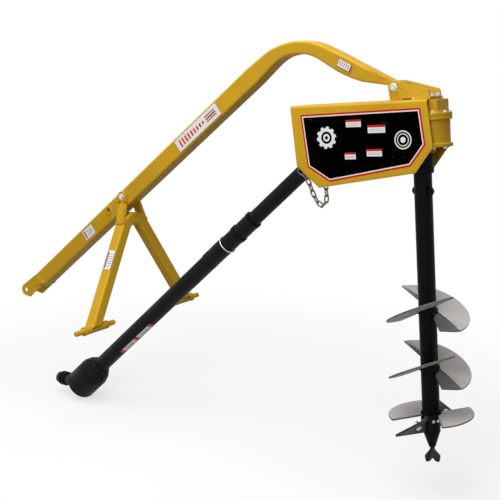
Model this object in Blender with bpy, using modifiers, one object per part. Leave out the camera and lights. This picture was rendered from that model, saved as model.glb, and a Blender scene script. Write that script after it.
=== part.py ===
"""A three-point post hole digger: boom, lift yoke, shielded gearbox, earth auger and driveline.

All lengths are in metres and +Z is up. +X runs from the tractor towards the auger. The origin is
the centre of the boom's top-hitch hole. Each moving group hangs from an empty that lies on its
joint's axis, and its pieces are drawn in that empty's own frame.
"""
import math

import bmesh
import bpy
from mathutils import Matrix, Vector

# Clearances between pieces
SEAT = 0.0003
RUN = 0.0004
WELD = 0.0005

# Boom: its local x runs up the boom from the hitch hole
BOOM_SLOPE = math.radians(38.4)
TAIL_SLOPE = math.radians(23.9)
TUBE_SIZE = 0.070
TUBE_WALL = 0.005
TUBE_CORNER = 0.008
HOLES_ABOVE_CENTRE = 0.0095
TUBE_START = 0.098
BEND_CORNER_AT = 1.8817
BEND_RADIUS = 0.235
HANGER_PAST_CORNER = 0.4572
TAIL_SHORT_OF_HANGER = 0.0102
HANGER_ABOVE_TAIL = 0.0167
HITCH_HOLE_RADIUS = 0.0098
HITCH_PLATE_THICKNESS = 0.006
HITCH_PLATE_END_RADIUS = 0.028
HITCH_PLATE_LENGTH = 0.116
HITCH_PLATE_RAKE = 0.008
HITCH_PLATE_TOP = 0.0205
HITCH_PLATE_ABOVE_TUBE_FOOT = 0.0048
HITCH_PLATE_NOSE_TURN = (90, 205)
ALT_PIVOT_AT = 0.695
ALT_BUSHING_RADIUS = 0.017
ALT_BUSHING_BORE = 0.010
ALT_BUSHING_LENGTH = 0.076
END_BUSHING_RADIUS = 0.022
END_BUSHING_LENGTH = 0.074
END_STRAP_FROM = 0.292
END_STRAP_WIDTH = 0.044
END_STRAP_THICKNESS = 0.006
END_STRAP_TOP = 0.0275
TAIL_WIDTH = 0.044

# Lift yoke: its local z runs from the pins up to the pivot bolt
YOKE_PIVOT_AT = 0.807
YOKE_LEAN = math.radians(6.0)
YOKE_TUBE = 0.050
YOKE_CORNER = 0.010
YOKE_DROP = 0.519
YOKE_LEG_SHORT = 0.012
YOKE_HALF_ANGLE = math.radians(32.0)
YOKE_APEX_DROP = 0.038
YOKE_BEND_RADIUS = 0.068
STRAP_WIDTH = 0.045
STRAP_THICKNESS = 0.012
STRAP_GAP = 0.0003
STRAP_DROP = 0.112
STRAP_BEND_DROP = 0.030
STRAP_BEND_LAP = 0.004
STRAP_FLARE = math.radians(20.0)
PIVOT_BOLT_RADIUS = 0.010
SLEEVE_RADIUS = 0.017
SLEEVE_INNER_Y = 0.215
SLEEVE_OUTER_Y = 0.345
PIN_RADIUS = 0.0111
PIN_STUB_Y = 0.172
PIN_END_Y = 0.400
PIN_COLLAR_RADIUS = 0.019
PIN_COLLAR_LENGTH = 0.008
PIN_CHAMFER = 0.003

# Head: its local frame is centred on the hanger bolt and tilted with the auger
HEAD_TILT = math.radians(4.45)
HANGER_BOLT_RADIUS = 0.010
SHIELD_SHEET = 0.003
SHIELD_TOP = -0.0465
SHIELD_OUTLINE = ((-0.410, SHIELD_TOP), (-0.395, -0.265), (-0.305, -0.346),
                  (0.081, -0.295), (0.148, -0.209), (0.131, SHIELD_TOP))
SHIELD_BEND_RADIUS = 0.010
EAR_GAP = 0.077
EAR_THICKNESS = 0.010
EAR_END_RADIUS = 0.021
EAR_HEEL = 0.131
EAR_SLOT = (0.021, 0.086)
EAR_SLOT_HEIGHT = 0.005
EAR_HEEL_TOP = -0.014
EAR_HEEL_CHAMFER = (0.006, 0.010)
EAR_FOOT_LEAD = 0.036
EAR_NOSE_TURN = (65, 190)
HANGER_BASE_LENGTH = 0.058
HANGER_BASE_THICKNESS = 0.007
HANGER_BASE_LIP = 0.004
JOIN_STEP = 0.0002
CAP_BOLT_RADIUS = 0.007
CAP_BOLT_ROWS = (0.094, 0.124)
CAP_BOLT_Y = 0.025
CAP_BOLT_DEPTH = 0.022
CAP_BOLT_HEAD_RADIUS = 0.0125
CAP_BOLT_HEAD = 0.009

# Gearbox
AUGER_X = 0.0745
INPUT_Z = -0.150
BOX_HALF_LENGTH = 0.103
BOX_HALF_WIDTH = 0.058
BOX_FLANGE = 0.0075
SHIELD_SIDE_CLEARANCE = 0.0035
SHIELD_WIDTH = 2 * (BOX_HALF_WIDTH + BOX_FLANGE + SHIELD_SIDE_CLEARANCE + SHIELD_SHEET)
BOX_WALL = 0.008
BOX_BOTTOM = -0.210
BOX_FLOOR = 0.012
CAP_FLANGE_THICKNESS = 0.012
BOX_FLANGE_THICKNESS = 0.012
CAP_SPLIT = -0.106
CAP_BLOCK_HALF_LENGTH = 0.0865
CAP_BLOCK_HALF_WIDTH = 0.050
CAP_HOLLOW_RADIUS = 0.030
CAP_HOLLOW_DEPTH = 0.030
INPUT_BOSS_RADIUS = 0.036
INPUT_BOSS_END = -0.052
OUTPUT_BOSS_RADIUS = 0.048
OUTPUT_BOSS_END = -0.231
SHAFT_CLEARANCE = 0.0015
BEARING_WIDTH = 0.016
INPUT_BEARING_RADIUS = 0.031
OUTPUT_BEARING_RADIUS = 0.040
INPUT_BEARING_AT = INPUT_BOSS_END + 0.014
OUTPUT_BEARING_AT = OUTPUT_BOSS_END + 0.012
CROWN_TEETH = 36
PINION_TEETH = 12
CROWN_RADIUS = 0.045
CROWN_THICKNESS = 0.015
TOOTH_HALF_DEPTH = 0.0022
GEAR_GAP = 0.0006
PINION_RADIUS = CROWN_RADIUS * PINION_TEETH / CROWN_TEETH
PINION_LENGTH = 0.018
CROWN_TOP = INPUT_Z - PINION_RADIUS - TOOTH_HALF_DEPTH - GEAR_GAP
SHAFT_PAST_GEAR = 0.006

# Auger: its local z is the auger's axis, with the head's heights
OUTPUT_SHAFT_RADIUS = 0.025
OUTPUT_SHAFT_TOP = -0.098
OUTPUT_SHAFT_END = -0.390
OUTPUT_SHAFT_NECK_RADIUS = 0.018
AUGER_TUBE_RADIUS = 0.03175
AUGER_TUBE_WALL = 0.0062
AUGER_TUBE_TOP = -0.234
AUGER_BORE_PAST_SHAFT = 0.020
COLLAR_RADIUS = 0.040
COLLAR_TOP = -0.238
COLLAR_END = -0.297
AUGER_BOLT_Z = -0.363
AUGER_BOLT_RADIUS = 0.008
AUGER_BOLT_CLOCK = math.radians(66.0)
AUGER_RADIUS = 0.1524
FLIGHT_TOP = -0.7838
FLIGHT_PITCH = 0.208
FLIGHT_THICKNESS = 0.006
FLIGHT_TILT = math.radians(24.4)
FLIGHT_CLOCK = math.radians(67.9)
FLIGHT_EDGE = 0.006
CORNER_FOLD = math.radians(35.0)
CORNER_FROM = 0.058
CORNER_BACK = 0.014
CORNER_FORWARD = 0.012
CORNER_INSET = 0.003
CORNER_TURN = (243, 264)
BOTTOM_FLIGHT = -1.172
BOTTOM_CLOCK = math.radians(335.7)
BOTTOM_HALF_SPAN = math.radians(76.0)
BOTTOM_LAP_DEGREES = 6
TOOTH_THICKNESS = 0.010
TOOTH_LEAD = math.radians(12.0)
TOOTH_BOLT_RADIUS = 0.006
TOOTH_OUTER_TOP = (0.0982, 0.0717, 0.014)
TOOTH_OUTER_LOW = (0.1411, -0.0358, -0.058)
TOOTH_INNER_LOW = (0.0420, 0.0016, -0.058)
TOOTH_INNER_TOP = (0.0470, 0.0335, 0.014)
TOOTH_CLEARANCE_GROWTH = 1.06
SOCKET_TOP = -1.235
SOCKET_END = -1.296
SOCKET_END_RADIUS = 0.0115
POINT_END = -1.355
POINT_WIDTH = 0.058
POINT_NECK = 0.014
POINT_THICKNESS = 0.010
POINT_CLOCK = math.radians(20.0)
POINT_IN_SOCKET = 0.024
POINT_NECK_DROP = 0.008
POINT_SHOULDER_DROP = 0.034
POINT_TIP_INSET = 0.005
POINT_NOTCH = (0.008, 0.018)

# Input side: its local x is the input shaft's axis, from the universal joint to the gearbox
CLUTCH_RADIUS = 0.0615
CLUTCH_NEAR = -0.150
CLUTCH_FAR = -0.066
CLUTCH_PLATE = 0.012
CLUTCH_DISC = 0.006
CLUTCH_DISC_INSET = 0.004
CLUTCH_HUB_RADIUS = 0.030
CLUTCH_HUB_STEP = 0.010
CLUTCH_BORE_DEPTH = 0.014
CLUTCH_BOLTS = 6
CLUTCH_BOLT_CIRCLE = 0.048
CLUTCH_BOLT_RADIUS = 0.005
CLUTCH_BOLT_STAND = 0.010
INPUT_SHAFT_RADIUS = 0.0175
PINION_SHAFT_RADIUS = 0.010

# Universal joints
JOINT_X = -0.2246
EAR_INNER = 0.030
EAR_OUTER = 0.038
FORK_EAR_RADIUS = 0.019
CAP_RADIUS = 0.0135
CAP_HALF_SPAN = 0.0400
CAP_PAST_EAR = 0.0008
CROSS_ARM_RADIUS = 0.0105
CROSS_REACH = 0.0289
CROSS_BODY_RADIUS = 0.018
FORK_BASE = 0.050
FORK_BASE_END = 0.067
FORK_HUB_RADIUS = 0.0255
FORK_SHOULDER_RADIUS = 0.0465
FORK_HUB_START = 0.052
FORK_EAR_LAP = 0.002
UPPER_FORK_HUB_END = 0.095

# Driveline: its local x runs down the driveline from the gearbox end's universal joint
DRIVE_SLOPE = math.radians(41.85)
DRIVE_LENGTH = 1.8547
CONE_START = 0.060
CONE_END = 0.122
CONE_RADIUS = 0.055
GUARD_SHEET = 0.003
UPPER_GUARD_RADIUS = 0.0295
UPPER_GUARD_END = 1.100
UPPER_BAR_RADIUS = 0.015
UPPER_BAR_END = 1.150
LOWER_GUARD_START = 0.5417
LOWER_GUARD_RADIUS = 0.035
GUARD_LIP = 0.012
GUARD_LIP_STEP = 0.002
LOWER_TUBE_RADIUS = 0.023
LOWER_TUBE_START = 0.600
LOWER_BORE_SHORT_OF_JOINT = 0.110
RING_AT = 0.7167
RING_WIRE = 0.003
CLIP_AT = 0.640
CLIP_WIDTH = 0.018
CLIP_THICKNESS = 0.003
BELL_START = DRIVE_LENGTH - 0.177
BELL_SHOULDER = 0.045
BELL_MOUTH = DRIVE_LENGTH + 0.028
BELL_ROUND = (0.010, 0.005)
BELL_NECK_RISE = (0.012, 0.002)
BELL_ON_GUARD = 0.020
BELL_NECK_RADIUS = 0.0385
BELL_SHOULDER_RADIUS = 0.066
BELL_MOUTH_RADIUS = 0.074
PTO_HUB_END = 0.150
PTO_BORE_RADIUS = 0.0175
PTO_BORE_START = 0.075
LOCK_START = 0.094
LOCK_LENGTH = 0.036
LOCK_RADIUS = 0.033
LOCK_CHAMFER = (0.003, 0.002)

# Guard chain in the head's frame, from the guard tube's pin to the shield's pin
CHAIN_PITCH = 0.026
CHAIN_WIRE = 0.003
CHAIN_LINK_HALF_WIDTH = 0.0105
CHAIN_Y = -0.044
CHAIN_ON_GUARD = 0.2235
CHAIN_HOOK = (-0.293, -0.286)
CHAIN_PIN_RADIUS = 0.0035
PIN_PAST_CHAIN = 0.004
CHAIN_HANG = ((-0.378, -0.305), (-0.362, -0.334), (-0.345, -0.378), (-0.327, -0.407),
              (-0.310, -0.416), (-0.296, -0.406), (-0.290, -0.380), (-0.292, -0.345))
LINK_LAP = 0.0004

# Directions in which a shape's own axes are laid
UPRIGHT = (0.0, 0.0, 0.0)
ALONG_X = (0.0, math.pi / 2, 0.0)
ALONG_Y = (-math.pi / 2, 0.0, 0.0)
IN_XZ = (math.pi / 2, 0.0, 0.0)
IN_YZ = (math.pi / 2, 0.0, math.pi / 2)


def clear_scene():
    """Remove every object of the start-up scene."""
    for obj in list(bpy.data.objects):
        bpy.data.objects.remove(obj, do_unlink=True)


def collection(name):
    """A new collection under the scene."""
    made = bpy.data.collections.new(name)
    bpy.context.scene.collection.children.link(made)
    return made


def finish(name, colour, roughness, metallic=0.0):
    """A Principled material, colour in linear light."""
    material = bpy.data.materials.new(name)
    material.use_nodes = True
    shader = material.node_tree.nodes["Principled BSDF"]
    shader.inputs["Base Color"].default_value = (*colour, 1.0)
    shader.inputs["Roughness"].default_value = roughness
    shader.inputs["Metallic"].default_value = metallic
    material.diffuse_color = (*colour, 1.0)
    return material


clear_scene()
PARTS = collection("post_hole_digger")
CUTTERS = collection("cutters")

YELLOW = (0.52, 0.31, 0.022)
BLACK = (0.012, 0.012, 0.013)
GREY = (0.40, 0.38, 0.36)
STEEL = (0.55, 0.55, 0.56)
CAST = (0.16, 0.16, 0.17)


def frame(name, origin, pitch=0.0, parent=None):
    """An empty on a joint's axis, turned about Y; its children are drawn in its frame."""
    empty = bpy.data.objects.new(name, None)
    empty.empty_display_size = 0.05
    PARTS.objects.link(empty)
    empty.parent = parent
    empty.location = origin
    empty.rotation_euler = (0.0, pitch, 0.0)
    return empty


def place(name, data, parent, location, rotation):
    """Link an object for data under its group's empty."""
    obj = bpy.data.objects.new(name, data)
    obj.parent = parent
    obj.location = location
    obj.rotation_euler = rotation
    return obj


def piece(name, data, look, parent, location=(0, 0, 0), rotation=UPRIGHT):
    """A sub-part of the digger with a material of its own; look is (colour, roughness, metallic)."""
    obj = place(name, data, parent, location, rotation)
    PARTS.objects.link(obj)
    data.materials.clear()
    data.materials.append(finish(name + "_finish", *look))
    return obj


def tool(name, data, parent, location=(0, 0, 0), rotation=UPRIGHT):
    """A solid that is only cut from or joined to a piece."""
    obj = place(name, data, parent, location, rotation)
    CUTTERS.objects.link(obj)
    obj.hide_render = True
    obj.display_type = "WIRE"
    return obj


def combine(target, others, operation):
    """Cut the others from the target, or join them to it."""
    for other in others:
        modifier = target.modifiers.new(other.name, "BOOLEAN")
        modifier.operation = operation
        modifier.solver = "EXACT"
        modifier.object = other
    return target


def cut(target, *others):
    return combine(target, others, "DIFFERENCE")


def join(target, *others):
    return combine(target, others, "UNION")


def round_edges(obj, width, segments=2):
    """Bevel the sharp edges of an object."""
    modifier = obj.modifiers.new("rounded edges", "BEVEL")
    modifier.width = width
    modifier.segments = segments
    modifier.limit_method = "ANGLE"
    modifier.angle_limit = math.radians(50)
    return obj


def mesh_from(name, build):
    """A mesh made by a bmesh builder function."""
    work = bmesh.new()
    build(work)
    bmesh.ops.recalc_face_normals(work, faces=work.faces)
    mesh = bpy.data.meshes.new(name)
    work.to_mesh(mesh)
    work.free()
    return mesh


def box(name, size, centre=(0, 0, 0)):
    """A box of the given size about a centre."""
    def build(work):
        bmesh.ops.create_cube(work, size=1.0)
        bmesh.ops.scale(work, vec=size, verts=work.verts)
        bmesh.ops.translate(work, vec=centre, verts=work.verts)
    return mesh_from(name, build)


def rod(name, radius, low, high, sides=24, high_radius=None):
    """A cylinder or cone on the local z axis, from low to high."""
    def build(work):
        top = radius if high_radius is None else high_radius
        bmesh.ops.create_cone(work, cap_ends=True, segments=sides, radius1=radius,
                              radius2=top, depth=high - low)
        bmesh.ops.translate(work, vec=(0, 0, (low + high) / 2), verts=work.verts)
    return mesh_from(name, build)


def bored(radius, sides=24):
    """The radius of a bore whose flats clear a turning pin of this radius."""
    return (radius + RUN) / math.cos(math.pi / sides)


def turned(name, profile, sides=32, ring=False):
    """A lathe profile of (height, radius) rows, top to bottom down the outer side.

    The Screw modifier that turns it is added by spin. A ring's profile goes back up its bore.
    """
    mesh = bpy.data.meshes.new(name)
    edges = [(i, i + 1) for i in range(len(profile) - 1)]
    if ring:
        edges.append((len(profile) - 1, 0))
    mesh.from_pydata([(radius, 0.0, height) for height, radius in profile], edges, [])
    mesh["sides"] = sides
    return mesh


def spin(obj):
    """Turn a profile about the object's z axis."""
    modifier = obj.modifiers.new("turned", "SCREW")
    modifier.axis = "Z"
    modifier.angle = 2 * math.pi
    modifier.steps = obj.data["sides"]
    modifier.render_steps = obj.data["sides"]
    modifier.use_merge_vertices = True
    modifier.merge_threshold = 0.00001
    return obj


def tube_profile(low, high, outer, inner):
    """The ring profile of a plain tube."""
    return [(high, outer), (low, outer), (low, inner), (high, inner)]


def arc(centre, radius, start, end, count):
    """Points on an arc, angles in degrees, both ends included."""
    steps = [start + (end - start) * i / (count - 1) for i in range(count)]
    return [(centre[0] + radius * math.cos(math.radians(a)),
             centre[1] + radius * math.sin(math.radians(a))) for a in steps]


def circle(centre, radius, count=24):
    """A closed ring of points."""
    return arc(centre, radius, 0, 360 - 360 / count, count)


def mesh_of_curve(name, curve):
    """Make a curve a welded mesh, so that modifiers can work on it."""
    holder = bpy.data.objects.new(name, curve)
    bpy.context.scene.collection.objects.link(holder)
    bpy.context.view_layer.update()
    graph = bpy.context.evaluated_depsgraph_get()
    mesh = bpy.data.meshes.new_from_object(holder.evaluated_get(graph))
    bpy.data.objects.remove(holder, do_unlink=True)
    bpy.data.curves.remove(curve)
    work = bmesh.new()
    work.from_mesh(mesh)
    bmesh.ops.remove_doubles(work, verts=work.verts, dist=0.00001)
    bmesh.ops.recalc_face_normals(work, faces=work.faces)
    work.to_mesh(mesh)
    work.free()
    mesh.name = name
    return mesh


def slab(name, rings, thickness):
    """A flat outline in the local xy plane, with its holes, made as thick as given."""
    curve = bpy.data.curves.new(name, "CURVE")
    curve.dimensions = "2D"
    curve.fill_mode = "BOTH"
    curve.extrude = thickness / 2
    for ring in rings:
        spline = curve.splines.new("POLY")
        spline.points.add(len(ring) - 1)
        for point, (x, y) in zip(spline.points, ring):
            point.co = (x, y, 0.0, 1.0)
        spline.use_cyclic_u = True
    return mesh_of_curve(name, curve)


def wire(name, points, radius, closed=True, resolution=1):
    """A wire of round section through the points."""
    curve = bpy.data.curves.new(name, "CURVE")
    curve.dimensions = "3D"
    curve.bevel_depth = radius
    curve.bevel_resolution = resolution
    curve.use_fill_caps = not closed
    spline = curve.splines.new("POLY")
    spline.points.add(len(points) - 1)
    for point, place_at in zip(spline.points, points):
        point.co = (*place_at, 1.0)
    spline.use_cyclic_u = closed
    return mesh_of_curve(name, curve)


def stadium(centre, half_length, half_width, count=9):
    """A plan outline with two round ends, long in x."""
    reach = half_length - half_width
    right = arc((centre[0] + reach, centre[1]), half_width, -90, 90, count)
    left = arc((centre[0] - reach, centre[1]), half_width, 90, 270, count)
    return right + left


def through_bolt(name, parent, location, rotation, radius, grip, tail=0.006):
    """A hex bolt with its nut on one solid; its head is at the local -z side of the grip."""
    head, nut, corner = 1.3 * radius, 1.6 * radius, 1.85 * radius
    lap = 0.1 * radius
    bolt = piece(name, rod(name, radius, -grip / 2 - head, grip / 2 + nut + tail, 24),
                 (STEEL, 0.35, 1.0), parent, location, rotation)
    hex_head = tool(name + "_head", rod(name + "_head", corner, -grip / 2 - head - lap, -grip / 2, 6),
                    parent, location, rotation)
    hex_nut = tool(name + "_nut", rod(name + "_nut", corner, grip / 2, grip / 2 + nut, 6),
                   parent, location, rotation)
    return join(bolt, hex_head, hex_nut)


# Frames of the moving groups
HOLE_LINE_TO_TAIL = BOOM_SLOPE + TAIL_SLOPE
BEND_TANGENT = BEND_RADIUS * math.tan(HOLE_LINE_TO_TAIL / 2)
BEND_START = BEND_CORNER_AT - BEND_TANGENT
BEND_ARC = BEND_RADIUS * HOLE_LINE_TO_TAIL
TAIL_LENGTH = HANGER_PAST_CORNER - TAIL_SHORT_OF_HANGER


def tail_point(along, above):
    """A boom-frame point given along the tail's centre line from the bend's corner."""
    turn = HOLE_LINE_TO_TAIL
    return (BEND_CORNER_AT + along * math.cos(turn) + above * math.sin(turn), 0.0,
            -HOLES_ABOVE_CENTRE - along * math.sin(turn) + above * math.cos(turn))


BOOM = frame("boom_frame", (0, 0, 0), -BOOM_SLOPE)
HANGER_AT = tail_point(HANGER_PAST_CORNER, HANGER_ABOVE_TAIL)
YOKE = frame("yoke_swing_axis", (YOKE_PIVOT_AT, 0, 0), BOOM_SLOPE - YOKE_LEAN, BOOM)
HEAD = frame("head_swing_axis", HANGER_AT, BOOM_SLOPE - HEAD_TILT, BOOM)
AUGER = frame("auger_axis", (AUGER_X, 0, 0), 0.0, HEAD)
INPUT = frame("input_axis", (0, 0, INPUT_Z), 0.0, HEAD)
DRIVE = frame("driveline_swing_axis", (JOINT_X, 0, INPUT_Z),
              math.pi - DRIVE_SLOPE + HEAD_TILT, HEAD)
PTO = frame("pto_joint_centre", (DRIVE_LENGTH, 0, 0), DRIVE_SLOPE, DRIVE)


# The boom
BOOM_DEPTHS = ((-0.090, 0.070), (0.020, 0.057), (0.080, 0.048), (0.190, 0.048), (0.270, 0.054),
               (0.344, 0.0625), (0.391, 0.060), (0.439, 0.0525), (0.480, 0.039), (0.545, 0.0165))
BOOM_RISES = ((0.190, 0.0), (0.344, -0.004), (0.391, -0.0035), (0.439, -0.0005), (0.480, 0.006),
              (0.545, 0.0165))
BOOM_HOLLOW_END = 0.391
BOOM_WIDTHS = ((0.300, TUBE_SIZE), (0.500, TAIL_WIDTH))


def between(table, at):
    """The value between the rows of a (place, value) table."""
    if at <= table[0][0]:
        return table[0][1]
    for (low, start), (high, end) in zip(table, table[1:]):
        if at <= high:
            share = (at - low) / (high - low)
            return start + (end - start) * share
    return table[-1][1]


def boom_centre(past):
    """Centre line point and slope, past the start of the bend."""
    if past <= 0:
        return BEND_START + past, -HOLES_ABOVE_CENTRE, 0.0
    turn = min(past / BEND_RADIUS, HOLE_LINE_TO_TAIL)
    s = BEND_START + BEND_RADIUS * math.sin(turn)
    n = -HOLES_ABOVE_CENTRE - BEND_RADIUS * (1 - math.cos(turn))
    rest = past - turn * BEND_RADIUS
    return s + rest * math.cos(turn), n - rest * math.sin(turn), turn


def boom_outline(start, end, inset):
    """Side outline of the boom from start to end along its centre line, drawn in by inset."""
    stations = [start, BOOM_DEPTHS[0][0]]
    count = round((end - BOOM_DEPTHS[0][0]) / 0.030)
    stations += [BOOM_DEPTHS[0][0] + (end - BOOM_DEPTHS[0][0]) * i / count
                 for i in range(1, count + 1)]
    top, bottom = [], []
    for past in stations:
        s, n, turn = boom_centre(past)
        half = between(BOOM_DEPTHS, past) / 2 - inset
        high = between(BOOM_RISES, past) + half
        low = high - 2 * half
        top.append((s + high * math.sin(turn), n + high * math.cos(turn)))
        bottom.append((s + low * math.sin(turn), n + low * math.cos(turn)))
    return bottom + top[::-1]


def taper_width(mesh):
    """Narrow the tail of the boom, whose slab is thick along its local z."""
    for vertex in mesh.vertices:
        s, n = vertex.co.x, vertex.co.y
        below = -(n + HOLES_ABOVE_CENTRE)
        along = (s - BEND_CORNER_AT) * math.cos(HOLE_LINE_TO_TAIL) + below * math.sin(HOLE_LINE_TO_TAIL)
        vertex.co.z *= between(BOOM_WIDTHS, BEND_ARC + along - BEND_TANGENT) / TUBE_SIZE
    return mesh


def make_boom():
    yellow = (YELLOW, 0.35)
    start = TUBE_START - BEND_START
    end = BEND_ARC + TAIL_LENGTH - BEND_TANGENT
    tube = piece("boom_tube", taper_width(slab("boom_tube", [boom_outline(start, end, 0.0)], TUBE_SIZE)),
                 yellow, BOOM, (0, 0, 0), IN_XZ)
    round_edges(tube, TUBE_CORNER)
    bore = slab("boom_bore", [boom_outline(start - 0.02, BOOM_HOLLOW_END, TUBE_WALL)],
                TUBE_SIZE - 2 * TUBE_WALL)
    cut(tube, tool("boom_bore", taper_width(bore), BOOM, (0, 0, 0), IN_XZ))
    across = TUBE_SIZE
    cut(tube,
        tool("alt_pivot_hole", rod("alt_pivot_hole", ALT_BUSHING_RADIUS + SEAT, -across, across),
             BOOM, (ALT_PIVOT_AT, 0, 0), ALONG_Y),
        tool("yoke_bolt_hole", rod("yoke_bolt_hole", PIVOT_BOLT_RADIUS + SEAT, -across, across),
             BOOM, (YOKE_PIVOT_AT, 0, 0), ALONG_Y),
        tool("end_bushing_seat", rod("end_bushing_seat", END_BUSHING_RADIUS + SEAT, -across, across, 32),
             BOOM, HANGER_AT, ALONG_Y))

    for side, name in ((-1, "near"), (1, "far")):
        end_round = arc((0, 0), HITCH_PLATE_END_RADIUS, *HITCH_PLATE_NOSE_TURN, 9)
        low = -TUBE_SIZE / 2 - HOLES_ABOVE_CENTRE + HITCH_PLATE_ABOVE_TUBE_FOOT
        outline = end_round + [(0.0, low), (HITCH_PLATE_LENGTH + HITCH_PLATE_RAKE, low),
                               (HITCH_PLATE_LENGTH - HITCH_PLATE_RAKE, HITCH_PLATE_TOP)]
        plate = slab("hitch_plate_" + name, [outline, circle((0, 0), HITCH_HOLE_RADIUS)],
                     HITCH_PLATE_THICKNESS)
        offset = side * (TUBE_SIZE / 2 + SEAT + HITCH_PLATE_THICKNESS / 2)
        piece("hitch_plate_" + name, plate, yellow, BOOM, (0, offset, 0), IN_XZ)

    spin(piece("alt_pivot_bushing",
               turned("alt_pivot_bushing", tube_profile(-ALT_BUSHING_LENGTH / 2, ALT_BUSHING_LENGTH / 2,
                                                        ALT_BUSHING_RADIUS, ALT_BUSHING_BORE),
                      24, ring=True), yellow, BOOM, (ALT_PIVOT_AT, 0, 0), ALONG_Y))
    spin(piece("boom_end_bushing",
               turned("boom_end_bushing",
                      tube_profile(-END_BUSHING_LENGTH / 2, END_BUSHING_LENGTH / 2,
                                   END_BUSHING_RADIUS, bored(HANGER_BOLT_RADIUS)), 32, ring=True),
               yellow, BOOM, HANGER_AT, ALONG_Y))

    # The end strap lies in a seat in the tail's top and butts the bushing
    length, width, thickness = TAIL_LENGTH - END_STRAP_FROM, END_STRAP_WIDTH, END_STRAP_THICKNESS
    middle = tail_point(END_STRAP_FROM + length / 2, END_STRAP_TOP - thickness / 2)
    lie = (0, HOLE_LINE_TO_TAIL, 0)
    strap = piece("boom_end_strap", box("boom_end_strap", (length, width, thickness)), yellow,
                  BOOM, middle, lie)
    cut(strap, tool("strap_bushing_seat",
                    rod("strap_bushing_seat", END_BUSHING_RADIUS + SEAT, -across, across, 32),
                    BOOM, HANGER_AT, ALONG_Y))
    room = box("strap_seat", (length + 2 * SEAT, width + 2 * SEAT, 3 * thickness + 2 * SEAT),
               (0, 0, thickness))
    cut(tube, tool("strap_seat", room, BOOM, middle, lie))

    grip = TUBE_SIZE + 2 * (STRAP_GAP + STRAP_THICKNESS + SEAT)
    through_bolt("yoke_pivot_bolt", BOOM, (YOKE_PIVOT_AT, 0, 0), ALONG_Y, PIVOT_BOLT_RADIUS, grip)


# The lift yoke
def leg_path(offset, end_drop):
    """Right half of the yoke's side outline, offset outwards from its centre line."""
    centre_drop = YOKE_APEX_DROP + YOKE_BEND_RADIUS / math.sin(YOKE_HALF_ANGLE)
    radius = YOKE_BEND_RADIUS + offset
    crest = arc((0, -centre_drop), radius, 90, math.degrees(YOKE_HALF_ANGLE), 9)
    slope = math.tan(YOKE_HALF_ANGLE)
    y = (end_drop - YOKE_APEX_DROP) * slope + offset / math.cos(YOKE_HALF_ANGLE)
    return crest + [(y, -end_drop)]


def strap_foot(side):
    """Side outline of a yoke strap's lower end, bent outwards on to the leg."""
    inner = TUBE_SIZE / 2 + STRAP_GAP + JOIN_STEP
    outer = inner + STRAP_THICKNESS - 2 * JOIN_STEP
    top, bend, foot = STRAP_BEND_LAP - STRAP_BEND_DROP, -STRAP_BEND_DROP, -STRAP_DROP
    inner_bend = bend - STRAP_THICKNESS * math.tan(STRAP_FLARE / 2)
    slope = math.tan(STRAP_FLARE)
    outline = [(outer, top), (outer, bend), (outer + (bend - foot) * slope, foot),
               (inner + (inner_bend - foot) * slope, foot), (inner, inner_bend), (inner, top)]
    return [(side * y, z) for y, z in outline]


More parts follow.
